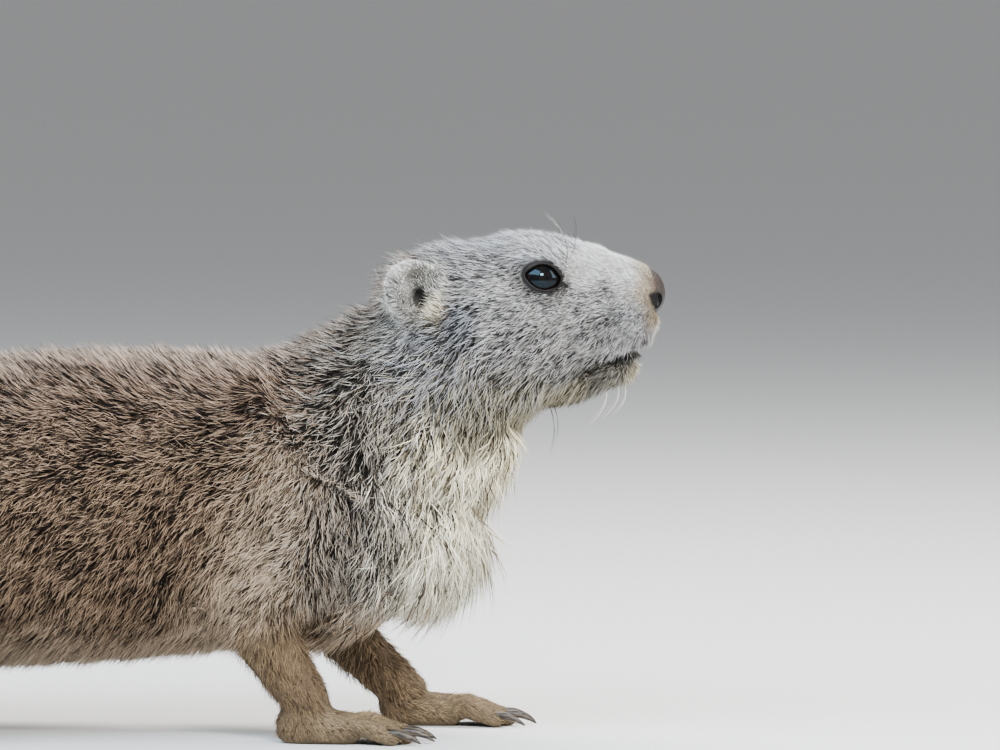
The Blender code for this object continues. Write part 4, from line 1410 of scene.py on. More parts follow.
    def soften(self) -> None:
        """Melts the edges between the forms of the trunk and neck, and keeps the head and feet."""
        points = self.places()
        line = points[:, 0] * self.HEAD_LINE[0] + points[:, 2] * self.HEAD_LINE[1]
        trunk = (1 - rising(line, *self.HEAD_EDGE)) * rising(points[:, 2], *self.FEET_EDGE)
        weight = np.round(trunk, 1)
        group = self.obj.vertex_groups.new(name="trunk")
        for level in np.unique(weight):
            group.add(np.flatnonzero(weight == level).tolist(), float(level), "REPLACE")
        smoothed(self.obj, self.SMOOTH_TRUNK, vertex_group=group.name)
        self.obj.vertex_groups.clear()

    def sink(self) -> None:
        """Moves the skin in by the depth of the coat, but leaves the soles on the floor."""
        mesh = self.obj.data
        points = self.places()
        normals = numbers(mesh.vertex_normals, "vector", 3)
        depth = self.growth.at(points).depth * rising(points[:, 2], *self.SOLE_EDGE)
        near_eye = np.linalg.norm(mirrored(points) - EYE_PLACE, axis=1)
        kept = self.EYE_SHARE + (1 - self.EYE_SHARE) * rising(near_eye, *self.EYE_EDGE)
        depth = depth * kept + self.folds(points)
        moved = self.behind_nose(points - normals * depth[:, None])
        mesh.vertices.foreach_set("co", self.drawing.to_model(moved).astype(np.float32).ravel())
        mesh.update()

    def behind_nose(self, points: Array) -> Array:
        """Draws the skin in behind the bare end of the nose.

        Args:
            points: The places of the skin's corners.

        Returns:
            Their new places.
        """
        far = from_pad(points)
        near = (1 - rising(far, *self.PAD_EDGE)) * rising(points[:, 0], *self.PAD_FRONT)
        near = near * (1 - rising(points[:, 2], *self.PAD_TOP))
        inward = 1 + near * (np.minimum(self.PAD_INSIDE / np.maximum(far, 0.1), 1) - 1)
        return PAD_PLACE + (points - PAD_PLACE) * inward[:, None]

    def folds(self, points: Array) -> Array:
        """The folds of the face: gape, lips and lids.

        Args:
            points: The places of the skin's corners.

        Returns:
            How far each goes in, in millimetres.
        """
        x, z = points[:, 0], points[:, 2]
        off = z - gape_height(x)
        mouth = self.SLIT.at(off) + self.LIPS.at(np.abs(off))
        eye = EyeFrame.seen(points)
        ring = oval(eye, self.LID_RADII)
        lids = self.CREASE.at(ring) + self.POUCH.at(ring)
        return band(x, *self.MOUTH_REACH) * mouth + rising(eye[:, 2], *self.LID_OUT) * lids

    def unwrap(self) -> None:
        """Lays the skin out flat in the map that the coat's pieces share."""
        mesh = self.obj.data
        for layer in list(mesh.uv_layers):
            mesh.uv_layers.remove(layer)
        mesh.uv_layers.new(name=COAT_MAP)
        choose(self.obj)
        bpy.ops.object.mode_set(mode="EDIT")
        bpy.ops.mesh.select_all(action="SELECT")
        bpy.ops.uv.smart_project(
            angle_limit=math.radians(self.MAP_ANGLE), island_margin=self.MAP_GAP
        )
        bpy.ops.object.mode_set(mode="OBJECT")


# The coat.


@dataclass
class Strands:
    """Tufts ready to be made into meshes: one row for each tuft.

    Each has rings of three corners and a tip, with a colour for each ring and for the tip.
    """

    rings: Array
    tips: Array
    colours: Array
    uv: Array

    RIDGE_SHIFT = 0.16  # how far along its patch a tuft's ridge is laid out

    def triangles(self) -> int:
        """How many triangles one tuft has."""
        return 1 + 6 * (self.rings.shape[1] - 1) + 3

    def part(self, rows: Array) -> "Strands":
        """Some of the tufts."""
        return Strands(self.rings[rows], self.tips[rows], self.colours[rows], self.uv[rows])

    def faces(self) -> Array:
        """The triangles of one tuft, from the root's cap to the tip.

        Returns:
            Three corner indices for each.
        """
        levels = self.rings.shape[1]
        made = [(0, 2, 1)]
        for level in range(levels - 1):
            low = 3 * level
            for k in range(3):
                a, b = low + k, low + (k + 1) % 3
                made += [(a, b, b + 3), (a, b + 3, a + 3)]
        last = 3 * (levels - 1)
        made += [(last + k, last + (k + 1) % 3, 3 * levels) for k in range(3)]
        return np.array(made)

    def layout(self) -> Array:
        """Lays one tuft out on its own patch of the map.

        Returns:
            The place of each corner, from 0 to 1.
        """
        levels = self.rings.shape[1]
        made = []
        for level in range(levels):
            along = level / levels
            made += [(0, along), (1, along), (0.5, along + self.RIDGE_SHIFT)]
        return np.array(made + [(0.5, 1.0)])

    def mesh(self, name: str, patch: float) -> bpy.types.Object:
        """Makes the tufts into one object.

        Args:
            name: The object's name.
            patch: The size of a tuft's patch on the map.

        Returns:
            The object.
        """
        count, levels = self.rings.shape[:2]
        corners = 3 * levels + 1
        points = np.concatenate([self.rings.reshape(count, -1, 3), self.tips[:, None]], 1)
        faces = self.faces()
        indices = (faces[None] + np.arange(count)[:, None, None] * corners).reshape(-1)
        mesh = bpy.data.meshes.new(name)
        mesh.vertices.add(count * corners)
        mesh.vertices.foreach_set("co", points.astype(np.float32).ravel())
        mesh.loops.add(len(indices))
        mesh.loops.foreach_set("vertex_index", indices.astype(np.int32))
        total = len(indices) // 3
        mesh.polygons.add(total)
        mesh.polygons.foreach_set("loop_start", np.arange(total, dtype=np.int32) * 3)
        mesh.polygons.foreach_set("use_smooth", np.ones(total, bool))
        mesh.update(calc_edges=True)
        spread = np.repeat(self.colours, [3] * levels + [1], axis=1)
        paint_vertices(mesh, spread.reshape(-1, 3))
        span = np.ptp(self.uv, axis=0)
        start = (self.uv - self.uv.min(0)) / span * (1 - patch)
        layout = self.layout()[faces].reshape(-1, 2)
        places = (start[:, None] + layout[None] * patch).reshape(-1, 2)
        mesh.uv_layers.new(name=COAT_MAP).data.foreach_set("uv", places.astype(np.float32).ravel())
        obj = bpy.data.objects.new(name, mesh)
        bpy.context.scene.collection.objects.link(obj)
        return obj


class Pelt(NamedTuple):
    """How one zone is covered: its slot, how many tufts it has, and of how many rings each."""

    slot: str
    count: int
    levels: int


PELTS = {
    HEAD: Pelt("coat_head", 78000, 1),
    THROAT: Pelt("coat_throat", 19000, 2),
    TRUNK: Pelt("coat_back", 186000, 1),
    LEGS: Pelt("coat_legs", 39000, 1),
    TAIL: Pelt("coat_tail", 8000, 2),
}


@dataclass
class Roots:
    """Where tufts start: places in the tables' frame, the skin's normals and places on the map."""

    place: Array
    normal: Array
    uv: Array

    def part(self, rows: Array) -> "Roots":
        """Some of the roots."""
        return Roots(self.place[rows], self.normal[rows], self.uv[rows])


class Ground:
    """The skin's triangles, on which roots are scattered.

    Args:
        skin: The skin.
    """

    def __init__(self, skin: Skin) -> None:
        """Reads the skin's mesh, and the map at the middle of each triangle."""
        mesh = skin.obj.data
        self.corners = triangles_of(mesh)
        self.points = skin.places()
        self.normals = numbers(mesh.vertex_normals, "vector", 3)
        self.uv = numbers(mesh.uv_layers[COAT_MAP].data, "uv", 2)[triangles_of(mesh, "loops")]
        a, b, c = (self.points[self.corners[:, k]] for k in range(3))
        self.area = np.linalg.norm(np.cross(b - a, c - a), axis=1) / 2
        self.growth = skin.growth.at((a + b + c) / 3)

    def roots(self, zone: int, count: int, draws: np.random.Generator) -> Roots:
        """Scatters roots over one zone, closer where the hair is shorter.

        Args:
            zone: The zone's number.
            count: How many roots there are.
            draws: The source of chance.

        Returns:
            The roots.
        """
        weight = self.area / (self.growth.length * tuft_width(self.growth.length))
        weight = weight * (self.growth.zone == zone)
        chosen = draws.choice(len(self.corners), count, p=weight / weight.sum())
        share = np.sqrt(draws.random(count))
        other = draws.random(count)
        mixing = np.column_stack([1 - share, share * (1 - other), share * other])
        place = np.einsum("nk,nkc->nc", mixing, self.points[self.corners[chosen]])
        normal = np.einsum("nk,nkc->nc", mixing, self.normals[self.corners[chosen]])
        normal /= np.linalg.norm(normal, axis=1, keepdims=True)
        return Roots(place, normal, np.einsum("nk,nkc->nc", mixing, self.uv[chosen]))


TUFT_WIDTH, TUFT_WIDENING = 0.21, 0.023  # millimetres, and how much a longer tuft is wider
TUFT_LIMITS = (0.26, 0.78)


def tuft_width(length: Array) -> Array:
    """How wide a tuft of a given length is, in millimetres."""
    return np.clip(TUFT_WIDTH + TUFT_WIDENING * length, *TUFT_LIMITS)


@dataclass
class Coat:
    """The tufts of the whole animal.

    Args:
        skin: The skin that they grow from.
        markings: The coat's colours.
        patch: The size of a tuft's patch on the map.
        piece_limit: The most triangles in one piece.
    """

    skin: Skin
    markings: Markings
    patch: float = 0.003
    piece_limit: int = 190000

    SEED = 21

    # Where nothing grows: half sizes of the eye's opening and the canal, and limits of the rest.
    OPENING, SOCKET_RIM = (7.1, 5.3), 0.2
    GAPE, GAPE_BACK, GAPE_SLANT = 0.8, 85, 0.5
    SOLE, SOLE_SLANT = 2.2, -0.4
    PAD_INSIDE, PAD_FRONT = 0.97, 107.5
    CANAL_RADII = (2.7, 9, 4.6)

    # How wild long hair is, and how many tufts stray: those are longer, thinner and steeper.
    WILD_LENGTH, WILD_MOST = 20, 0.45
    STRAYS, STRAY_LENGTH, STRAY_WIDTH, STRAY_LIFT = 0.12, 1.22, 0.75, 5
    LENGTHS, WIDTHS = (0.72, 1.18), (0.8, 1.2)

    # The way of a tuft: two waves as size and turn in radians, and one turn of its own.
    LOCKS, FINE_LOCKS, OWN_TURN = (9, 0.24), (3.2, 0.20), 0.2
    LOCK_TURN, LOCK_WILD, OWN_SHARE, OWN_WILD = 0.5, 1.2, 0.6, 2.6

    # The rise in degrees: a wave as size and height, its own share, and its limits.
    LIFT_WAVE, LIFT_OWN, LIFT_LIMITS = (5, 7), 5, (6, 62)

    # How far soft borders reach in millimetres on the face, and how much more on long hair.
    BORDER, BORDER_MORE, BORDER_EDGE = 0.6, 8, (5.5, 7.5)

    # Dark tufts are wider than light ones, and those of many rings are thinner.
    DARK_WIDTH, LIGHT_LOSS, RINGED_WIDTH = 1.3, 0.62, 0.85

    # How deep and how far back a root starts, and how a tuft flattens and thins from ring to ring.
    ROOT_DEPTH, ROOT_BACK, FLATTEN, THIN = 0.4, 0.2, 0.65, 0.2

    # The opening that no tip reaches over, how far out that counts, and the least height of a tip.
    CLEAR_OPENING, CLEAR_OUT, TIP_HEIGHT = (6.4, 4.7), 2, 0.4

    def bare(self, roots: Roots) -> Array:
        """Where nothing grows: in the eye's opening, the gape and the ear, on soles and nose.

        Args:
            roots: The roots.

        Returns:
            Whether each one is bare.
        """
        root, normal = roots.place, roots.normal
        eye = EyeFrame.seen(root)
        on_eye = (oval(eye, self.OPENING) < 1) & (eye[:, 2] > 0)
        in_socket = np.linalg.norm(eye, axis=1) < EYE_RADIUS - self.SOCKET_RIM
        gape = np.abs(root[:, 2] - gape_height(root[:, 0])) < self.GAPE
        gape &= (root[:, 0] > self.GAPE_BACK) & (np.abs(normal[:, 2]) > self.GAPE_SLANT)
        sole = (root[:, 2] < self.SOLE) & (normal[:, 2] < self.SOLE_SLANT)
        nose = (from_pad(root) < self.PAD_INSIDE) & (root[:, 0] > self.PAD_FRONT)
        canal = np.linalg.norm((mirrored(root) - EAR_CANAL) / self.CANAL_RADII, axis=1) < 1
        return on_eye | in_socket | gape | sole | nose | canal

    def lie(
        self, roots: Roots, growth: Growth, draws: np.random.Generator
    ) -> tuple[Array, Array]:
        """Lays the tufts along the skin.

        Args:
            roots: Where they start.
            growth: The map read there.
            draws: The source of chance.

        Returns:
            The way of each tuft along the skin, and the way across it.
        """
        root, normal = roots.place, roots.normal
        wild = np.minimum(growth.length / self.WILD_LENGTH, self.WILD_MOST)
        along = growth.way - normal * (growth.way * normal).sum(1, keepdims=True)
        along /= np.linalg.norm(along, axis=1, keepdims=True) + 1e-6
        side = np.cross(normal, along)
        (size, turn), (fine_size, fine_turn) = self.LOCKS, self.FINE_LOCKS
        yaw = waves(root, size, seed=5) * turn + waves(root, fine_size, seed=6) * fine_turn
        own = draws.normal(0, self.OWN_TURN, len(root))
        yaw = yaw * (self.LOCK_TURN + self.LOCK_WILD * wild)
        yaw = yaw + own * (self.OWN_SHARE + self.OWN_WILD * wild)
        along = along * np.cos(yaw)[:, None] + side * np.sin(yaw)[:, None]
        return along, np.cross(normal, along)

    def grow(self, roots: Roots, levels: int, draws: np.random.Generator) -> Strands:
        """Grows the tufts of one zone.

        Args:
            roots: Where they start.
            levels: How many rings each has.
            draws: The source of chance.

        Returns:
            The tufts.
        """
        root, normal = roots.place, roots.normal
        growth = self.skin.growth.at(root)
        count = len(root)
        along, side = self.lie(roots, growth, draws)
        stray = draws.random(count) < self.STRAYS
        length = growth.length * draws.uniform(*self.LENGTHS, count)
        length = length * np.where(stray, self.STRAY_LENGTH, 1)
        size, height = self.LIFT_WAVE
        lift = growth.rise + waves(root, size, seed=7) * height
        lift = lift + draws.normal(0, self.LIFT_OWN, count) + stray * self.STRAY_LIFT
        lift = np.radians(np.clip(lift, *self.LIFT_LIMITS))
        width = tuft_width(length) * draws.uniform(*self.WIDTHS, count)
        width = width * np.where(stray, self.STRAY_WIDTH, 1)
        border = self.BORDER + self.BORDER_MORE * rising(growth.length, *self.BORDER_EDGE)
        nearby = self.skin.growth.at(root + draws.normal(0, 1, (count, 3)) * border[:, None])
        lightness = self.markings.lightness(root, nearby, draws)
        width = width * (self.DARK_WIDTH - self.LIGHT_LOSS * lightness)
        if levels > 1:
            width = width * self.RINGED_WIDTH
        centre = root - normal * self.ROOT_DEPTH - along * self.ROOT_BACK
        rings = []
        for level in range(levels):
            bend = lift * (1 - self.FLATTEN * level)
            way = along * np.cos(bend)[:, None] + normal * np.sin(bend)[:, None]
            half = (width * (1 - self.THIN * level) / 2)[:, None]
            across, over = side * half, np.cross(side, way) * half
            rings.append(np.stack([centre + across, centre - across, centre + over], 1))
            centre = centre + way * (length / levels)[:, None]
        rings = np.stack(rings, 1)
        colours = self.markings.tufts(root, nearby, lightness, draws)
        colours = np.stack([colours[0], *colours[3 - levels :]], 1)
        reach = EyeFrame.seen(np.concatenate([(rings[:, -1, 2] + centre) / 2, centre]))
        over_eye = (oval(reach, self.CLEAR_OPENING) < 1) & (reach[:, 2] > self.CLEAR_OUT)
        clear = ~(over_eye[:count] | over_eye[count:]) & (centre[:, 2] > self.TIP_HEIGHT)
        drawing = self.skin.drawing
        made = Strands(drawing.to_model(rings), drawing.to_model(centre), colours, roots.uv)
        return made.part(clear)

    def build(self) -> list[bpy.types.Object]:
        """Makes the coat's pieces, zone by zone.

        Returns:
            The pieces.
        """
        ground = Ground(self.skin)
        draws = np.random.default_rng(self.SEED)
        made = []
        for number, zone in enumerate(Zone):
            pelt = PELTS[zone]
            roots = ground.roots(number, pelt.count, draws)
            strands = self.grow(roots.part(~self.bare(roots)), pelt.levels, draws)
            order = np.argsort(strands.tips[:, 0], kind="stable")
            parts = math.ceil(len(order) * strands.triangles() / self.piece_limit)
            material = CoatFinish(f"coat_{zone.value}").material()
            for index, rows in enumerate(np.array_split(order, parts)):
                piece = strands.part(rows).mesh(f"coat_{zone.value}_{index + 1}", self.patch)
                piece.data.materials.append(material)
                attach(piece, "root")
                made.append(piece)
        return made


# Eyes, nose, claws and whiskers.


@dataclass
class Eyes:
    """Both eyes with the bare edges of their lids.

    Args:
        drawing: The frame of the tables.
        opening: Half sizes of the line on which the lids' edge runs, in millimetres.
        edge: Half the thickness of that edge.
        point: How pointed the corners are.
    """

    drawing: Drawing
    opening: Pair = (6.7, 4.9)
    edge: float = 0.85
    point: float = 0.28

    BALL_DETAIL = 64

    # The unit ring that is laid along the lids: half its thickness, and its steps.
    TUBE, RING_STEPS, TUBE_STEPS = 0.25, 72, 12

    # The edge: its thickness below and what the upper lid and the corners add or lose.
    LOWER, UPPER, UPPER_EDGE = 0.75, 0.45, (-0.3, 0.6)
    CORNER_LOSS, CORNER_EDGE, WIDENING = 0.35, (0.8, 1), 6.5

    # The front corner, which is drawn forward and down in millimetres.
    FRONT_EDGE, FRONT_DRAW, FRONT_DROP = (0.6, 1), 0.18, 0.7

    # How far over the eyeball the edge lies, how high it is, and how it follows the ball.
    OVER, HEIGHT, FOLLOW, LEAST = 0.7, 0.75, 0.92, 4

    def eyeball(self, side: int) -> bpy.types.Object:
        """One eyeball.

        Args:
            side: 1 for the left, -1 for the right.

        Returns:
            The eyeball.
        """
        x, y, z = EYE_PLACE
        place = self.drawing.to_model((x, y * side, z))
        radii = (EYE_RADIUS, EYE_RADIUS, EYE_RADIUS)
        name = f"eyeball_{side_word(side)}"
        made = smooth_shaded(ball(name, place, radii, (90, 0, 0), self.BALL_DETAIL))
        made.data.materials.append(EyeFinish().material())
        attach(made, "root")
        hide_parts(f"eye_{side_word(side)}")
        return made

    def along_lids(self, ring: Array) -> Array:
        """Lays a unit ring along the left eye's lids.

        Args:
            ring: The corners of the ring.

        Returns:
            Their places in the frame of the tables.
        """
        turn = np.arctan2(ring[:, 1], ring[:, 0])
        outward = (np.hypot(ring[:, 0], ring[:, 1]) - 1) / self.TUBE
        high = ring[:, 2] / self.TUBE
        sine, cosine = np.sin(turn), np.cos(turn)
        thick = self.edge * (self.LOWER + self.UPPER * rising(sine, *self.UPPER_EDGE))
        thick = thick * (1 - self.CORNER_LOSS * rising(np.abs(cosine), *self.CORNER_EDGE))
        wide = 1 + outward * thick / self.WIDENING
        front = rising(cosine, *self.FRONT_EDGE)
        forward = self.opening[0] * cosine * (wide + self.FRONT_DRAW * front)
        up = self.opening[1] * sine * np.abs(sine) ** self.point * wide - self.FRONT_DROP * front
        over = EYE_RADIUS + self.OVER + high * thick * self.HEIGHT
        out = np.sqrt(np.maximum(over**2 - forward**2 * self.FOLLOW - up**2, self.LEAST))
        return EYE_PLACE + np.column_stack([forward, up, out]) @ np.array(EyeFrame.axes())

    def lid(self, side: int) -> bpy.types.Object:
        """The dark edge round one eye, from a ring that is laid along the lids.

        Args:
            side: 1 for the left, -1 for the right.

        Returns:
            The edge.
        """
        deselect()
        bpy.ops.mesh.primitive_torus_add(
            major_segments=self.RING_STEPS,
            minor_segments=self.TUBE_STEPS,
            major_radius=1.0,
            minor_radius=self.TUBE,
        )
        obj = bpy.context.view_layer.objects.active
        places = self.along_lids(numbers(obj.data.vertices, "co", 3)) * (1, side, 1)
        model = self.drawing.to_model(places).astype(np.float32)
        obj.data.vertices.foreach_set("co", model.ravel())
        obj.data.update()
        obj.name = obj.data.name = f"lid_{side_word(side)}"
        obj.data.materials.append(LidFinish().material())
        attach(smooth_shaded(turned_outwards(obj)), "root")
        return obj

    def build(self) -> list[bpy.types.Object]:
        """Makes both eyes."""
        return [make(side) for side in (1, -1) for make in (self.eyeball, self.lid)]


@dataclass
class Nose:
    """The bare end of the nose with its nostrils.

    Args:
        drawing: The frame of the tables.
        pitch: Degrees that the pad is turned about Y.
        nostril: The left nostril's middle, in millimetres.
        nostril_radii: Its half sizes.
        nostril_turn: Its turn in degrees.
        brown: The pad's upper colour, as a screen shows it.
        black: The amount of light of its lower colour: its own dark skin, with painted shade under
            the pad's front.
    """

    drawing: Drawing
    pitch: float = -8.0
    nostril: Triple = (110.8, 7.2, 147.7)
    nostril_radii: Triple = (2.9, 3.3, 3.1)
    nostril_turn: Triple = (18, -20, 26)
    brown: Colour = (0.19, 0.15, 0.13)
    black: float = 0.006

    PAD_DETAIL, NOSTRIL_DETAIL = 96, 48

    # Where brown starts: a slope, a place along the head, and heights. Then the nostril's edge, and
    # the black painted in it as shade.
    BROWN_SLOPE, BROWN_PLACE, BROWN_EDGE = 0.4, 110, (149, 153.5)
    NOSTRIL_EDGE, NOSTRIL_BLACK = (0.95, 1.25), 0.002
    SMOOTH_ANGLE = 50

    def colours(self, points: Array) -> Array:
        """Brown above, darker below with painted shade under the pad's front, and black painted in
        the nostrils as shade.

        Args:
            points: Places in the frame of the tables.

        Returns:
            A colour for each.
        """
        slope = self.BROWN_SLOPE * (points[:, 0] - self.BROWN_PLACE)
        high = rising(points[:, 2] + slope, *self.BROWN_EDGE)[:, None]
        # Lower down, the pad's own dark skin with painted shade under its front.
        colour = np.array(linear(self.brown)) * high + self.black * (1 - high)
        # The nostrils: black painted as shade inside the holes.
        off = (mirrored(points) - self.nostril) / self.nostril_radii
        outside = rising(np.linalg.norm(off, axis=1), *self.NOSTRIL_EDGE)[:, None]
        return colour * outside + self.NOSTRIL_BLACK

    def hollow(self, side: int) -> bpy.types.Object:
        """The form of one nostril.

        Args:
            side: 1 for the left, -1 for the right.

        Returns:
            The form.
        """
        x, y, z = self.nostril
        place = self.drawing.to_model((x, y * side, z))
        roll, pitch, yaw = self.nostril_turn
        turn = (roll * side, pitch, yaw * side)
        return ball("nostril", place, self.nostril_radii, turn, self.NOSTRIL_DETAIL)

    def build(self) -> bpy.types.Object:
        """Makes the nose.

        Returns:
            The nose.
        """
        place, turn = self.drawing.to_model(PAD_PLACE), (0, self.pitch, 0)
        pad = ball("nose_pad", place, PAD_RADII, turn, self.PAD_DETAIL)
        carved(pad, [self.hollow(side) for side in (1, -1)])
        points = self.drawing.to_table(numbers(pad.data.vertices, "co", 3))
        paint_vertices(pad.data, self.colours(points))
        pad.data.materials.append(NoseFinish().material())
        choose(pad)
        bpy.ops.object.shade_smooth_by_angle(angle=math.radians(self.SMOOTH_ANGLE))
        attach(pad, "root")
        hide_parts("nose")
        return pad


@dataclass
class Claws:
    """All eighteen claws, rounded from the part's own.

    Args:
        levels: How often each is divided.
    """

    levels: int = 2

    def build(self) -> bpy.types.Object:
        """Makes the claws as one piece.

        Returns:
            The claws.
        """
        names = sorted(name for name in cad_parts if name.startswith("claw_"))
        claws = joined("claws", [copy_of_solid(name) for name in names])
        finished_with(claws, "SUBSURF", levels=self.levels, render_levels=self.levels)
        claws.data.materials.append(HornFinish().material())
        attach(smooth_shaded(claws), "root")
        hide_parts(*names)
        return claws


class Whisker(NamedTuple):
    """One long stiff hair of the left side: its root, its tip, how far it bows and its colour."""

    root: Triple
    tip: Triple
    bow: Triple
    radius: float
    colour: Colour


DARK_HAIR, PALE_HAIR = (0.05, 0.045, 0.045), (0.90, 0.89, 0.85)
WHISKERS = (
    Whisker((101, 14.5, 143.5), (78, 34, 137), (0, 3, 3), 0.16, DARK_HAIR),
    Whisker((99, 15, 140), (76, 36, 130), (0, 3, 3), 0.16, DARK_HAIR),
    Whisker((101, 14.5, 137), (80, 32, 124), (0, 3, 2), 0.15, DARK_HAIR),
    Whisker((97, 15.5, 143), (74, 33, 142), (0, 3, 2), 0.14, DARK_HAIR),
    Whisker((96, 15.5, 136), (76, 33, 121), (0, 3, 1), 0.08, DARK_HAIR),
    Whisker((103, 13, 139), (86, 27, 127), (0, 3, 1), 0.07, DARK_HAIR),
    Whisker((98, 6, 118.5), (92, 11, 108), (2, 1, 0), 0.10, PALE_HAIR),
    Whisker((94, 5, 117), (87, 9, 105), (2, 1, 0), 0.10, PALE_HAIR),
    Whisker((100, 3, 119), (96, 6, 109), (2, 1, 0), 0.09, PALE_HAIR),
    Whisker((74, 9, 113.5), (74.5, 10, 95), (2, 0, 0), 0.12, DARK_HAIR),
    Whisker((75.5, 8, 113.5), (76.5, 9, 99), (1.5, 0, 0), 0.11, DARK_HAIR),
    Whisker((79.5, 18.5, 160), (73, 22, 178.2), (3.5, 1, 0), 0.13, DARK_HAIR),
    Whisker((80.5, 18, 161), (83, 21, 177), (1.5, 1, 0), 0.12, DARK_HAIR),
    Whisker((79, 19, 159), (76.5, 23, 174), (2.5, 1, 0), 0.13, DARK_HAIR),
    Whisker((80, 14, 166), (72.5, 17, 178), (2, 0, 0), 0.06, PALE_HAIR),
    Whisker((80.5, 18.8, 157.5), (70.5, 24, 163.5), (2, 1.5, 1.5), 0.12, DARK_HAIR),
)


@dataclass
class Whiskers:
    """The long stiff hairs of lips, chin, throat and brow, as tapered threads.

    Args:
        drawing: The frame of the tables.
        rows: The hairs of the left side.
        steps: Rings along one hair.
        taper: How much thinner the tip is.
        roughness: How dull the hairs are.
        shine: How much light they mirror.
    """

    drawing: Drawing
    rows: Sequence[Whisker] = WHISKERS
    steps: int = 9
    taper: float = 0.75
    roughness: float = 0.35
    shine: float = 0.5

    def rings(self, root: Array, tip: Array, bow: Array, radius: float) -> Array:
        """Sets rings of three corners along one hair.

        Args:
            root: Where it starts.
            tip: Where it ends.
            bow: How far its middle bows out.
            radius: How thick its root is.

        Returns:
            The corners, ring by ring.
        """
        shares = np.arange(self.steps) / self.steps
        line = root + np.outer(shares, tip - root) + np.outer(4 * shares * (1 - shares), bow)
        way = (tip - root) / np.linalg.norm(tip - root)
        across = np.cross(way, (0, 0, 1))
        across /= np.linalg.norm(across)
        over = np.cross(across, way)
        ring = []
        for k in range(3):
            angle = 2 * math.pi * k / 3
            out = across * math.cos(angle) + over * math.sin(angle)
            ring.append(line + np.outer(radius * (1 - self.taper * shares), out))
        return np.stack(ring, 1)

    def build(self) -> bpy.types.Object:
        """Makes the whiskers of both sides as one piece.

        Returns:
            The whiskers.
        """
        rings, tips, colours = [], [], []
        for hair in self.rows:
            for side in (1, -1):
                flip = np.array([1, side, 1])
                root, tip, bow = (np.array(v, float) * flip for v in (hair.root, hair.tip, hair.bow))
                rings.append(self.rings(root, tip, bow, hair.radius))
                tips.append(tip)
                colours.append(np.tile(linear(hair.colour), (self.steps + 1, 1)))
        rings, tips = np.array(rings), np.array(tips)
        places = rings[:, 0, 0][:, [0, 2]]
        to_model = self.drawing.to_model
        strands = Strands(to_model(rings), to_model(tips), np.array(colours), places)
        made = strands.mesh("whiskers", Coat.patch)
        finish = CoatFinish("whisker", self.roughness, self.shine)
        made.data.materials.append(finish.material())
        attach(made, "root")
        return made


# Floor, lights and camera.


class Lamp(NamedTuple):
    """One soft lamp: its place and its width and height in metres, its watts and its colour.

    The place is counted from the point between head and neck that all lamps point at.
    """

    name: str
    place: Triple
    size: Pair
    power: float
    colour: Colour


LAMPS = (
    Lamp("sky_lamp", (-0.7, -1.0, 0.95), (2.0, 0.7), 78, (0.74, 0.88, 1.0)),
    Lamp("key_lamp", (0.35, -1.2, 0.6), (0.36, 0.26), 34, (1.0, 0.97, 0.93)),
    Lamp("top_lamp", (0.15, 0.5, 1.35), (1.2, 0.7), 58, (1.0, 0.98, 0.95)),
    Lamp("side_lamp", (1.5, -0.12, 0.6), (0.9, 0.9), 26, (1.0, 0.97, 0.93)),
)


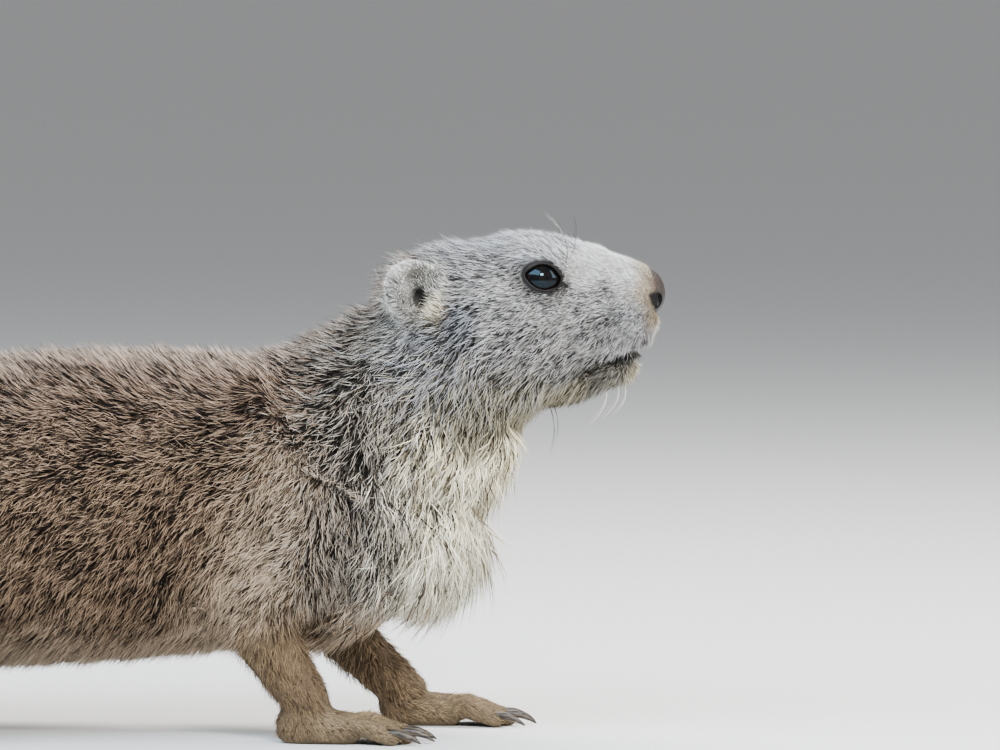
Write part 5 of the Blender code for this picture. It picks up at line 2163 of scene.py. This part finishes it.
@dataclass
class Studio:
    """The plain pale floor, the soft lights and the camera.

    Args:
        drawing: The frame of the tables.
        scale: Millimetres to a pixel of the photo at the animal's middle.
        pixels: How wide the photo is.
        centre: The place that the photo's middle shows.
        distance: From there to the camera, in metres.
        elevation: Degrees that the camera looks down.
        sensor: How wide the camera's sensor is, in millimetres.
        clip: The nearest and farthest that it sees, in metres.
        aim: What the lamps point at.
        floor_radius: How far the floor reaches, in metres.
        floor_steps: Corners of its edge.
        sky: The colour and strength of the sky's light.
    """

    drawing: Drawing
    scale: float = 0.34
    pixels: int = 1000
    centre: Triple = (57.8, 0, 122.4)
    distance: float = 2.6
    elevation: float = 3.0
    sensor: float = 36.0
    clip: Pair = (0.1, 400)
    aim: Triple = (20, 0, 110)
    floor_radius: float = 150.0
    floor_steps: int = 96
    sky: tuple[Colour, float] = ((0.96, 0.97, 1), 0.45)

    def floor(self) -> None:
        """Adds the floor."""
        deselect()
        bpy.ops.mesh.primitive_circle_add(
            vertices=self.floor_steps, radius=self.floor_radius, fill_type="NGON"
        )
        made = bpy.context.view_layer.objects.active
        made.name = made.data.name = "floor"
        made.data.materials.append(FloorFinish().material())

    def lamp(self, lamp: Lamp) -> None:
        """Adds one lamp.

        Args:
            lamp: The lamp.
        """
        aim = Vector(self.drawing.to_model(self.aim))
        data = bpy.data.lights.new(lamp.name, "AREA")
        data.shape = "RECTANGLE"
        data.size, data.size_y = lamp.size
        data.energy, data.color = lamp.power, lamp.colour
        obj = bpy.data.objects.new(lamp.name, data)
        obj.location = aim + Vector(lamp.place)
        obj.rotation_euler = (aim - obj.location).to_track_quat("-Z", "Y").to_euler()
        bpy.context.scene.collection.objects.link(obj)

    def world(self) -> None:
        """Adds the sky's even light."""
        colour, strength = self.sky
        world = bpy.data.worlds.new("sky")
        world.use_nodes = True
        light = world.node_tree.nodes["Background"]
        light.inputs["Color"].default_value = (*colour, 1)
        light.inputs["Strength"].default_value = strength
        bpy.context.scene.world = world

    def camera(self) -> None:
        """Adds the camera at the photo's angle, with its framing."""
        data = bpy.data.cameras.new("camera")
        data.sensor_width = self.sensor
        data.lens = self.sensor * self.distance / (self.pixels * self.scale * MM)
        data.clip_start, data.clip_end = self.clip
        obj = bpy.data.objects.new("camera", data)
        angle = math.radians(self.elevation)
        back = Vector((0, -math.cos(angle), math.sin(angle)))
        obj.location = Vector(self.drawing.to_model(self.centre)) + back * self.distance
        obj.rotation_euler = (-back).to_track_quat("-Z", "Y").to_euler()
        bpy.context.scene.collection.objects.link(obj)
        bpy.context.scene.camera = obj

    def build(self) -> None:
        """Sets up the floor, the lights, the sky and the camera."""
        self.floor()
        for lamp in LAMPS:
            self.lamp(lamp)
        self.world()
        self.camera()


# Everything in order.


def main() -> None:
    """Builds and dresses the animal, and sets up the studio."""
    logging.basicConfig(level=logging.INFO, format="%(name)s: %(message)s")
    drawing = Drawing.from_solids()
    growth = GrowthMap(GUIDES)
    markings = Markings(growth)
    skin = Skin(drawing, growth, markings).build()
    pieces = [skin.obj, *Coat(skin, markings).build(), *Eyes(drawing).build()]
    pieces += [Nose(drawing).build(), Claws().build(), Whiskers(drawing).build()]
    for piece in pieces:
        LOG.info("%s: %d triangles", piece.name, len(triangles_of(piece.data)))
    Studio(drawing).build()
    LOG.info("studio: floor, %d lamps and camera", len(LAMPS))


if __name__ == "__main__":
    main()
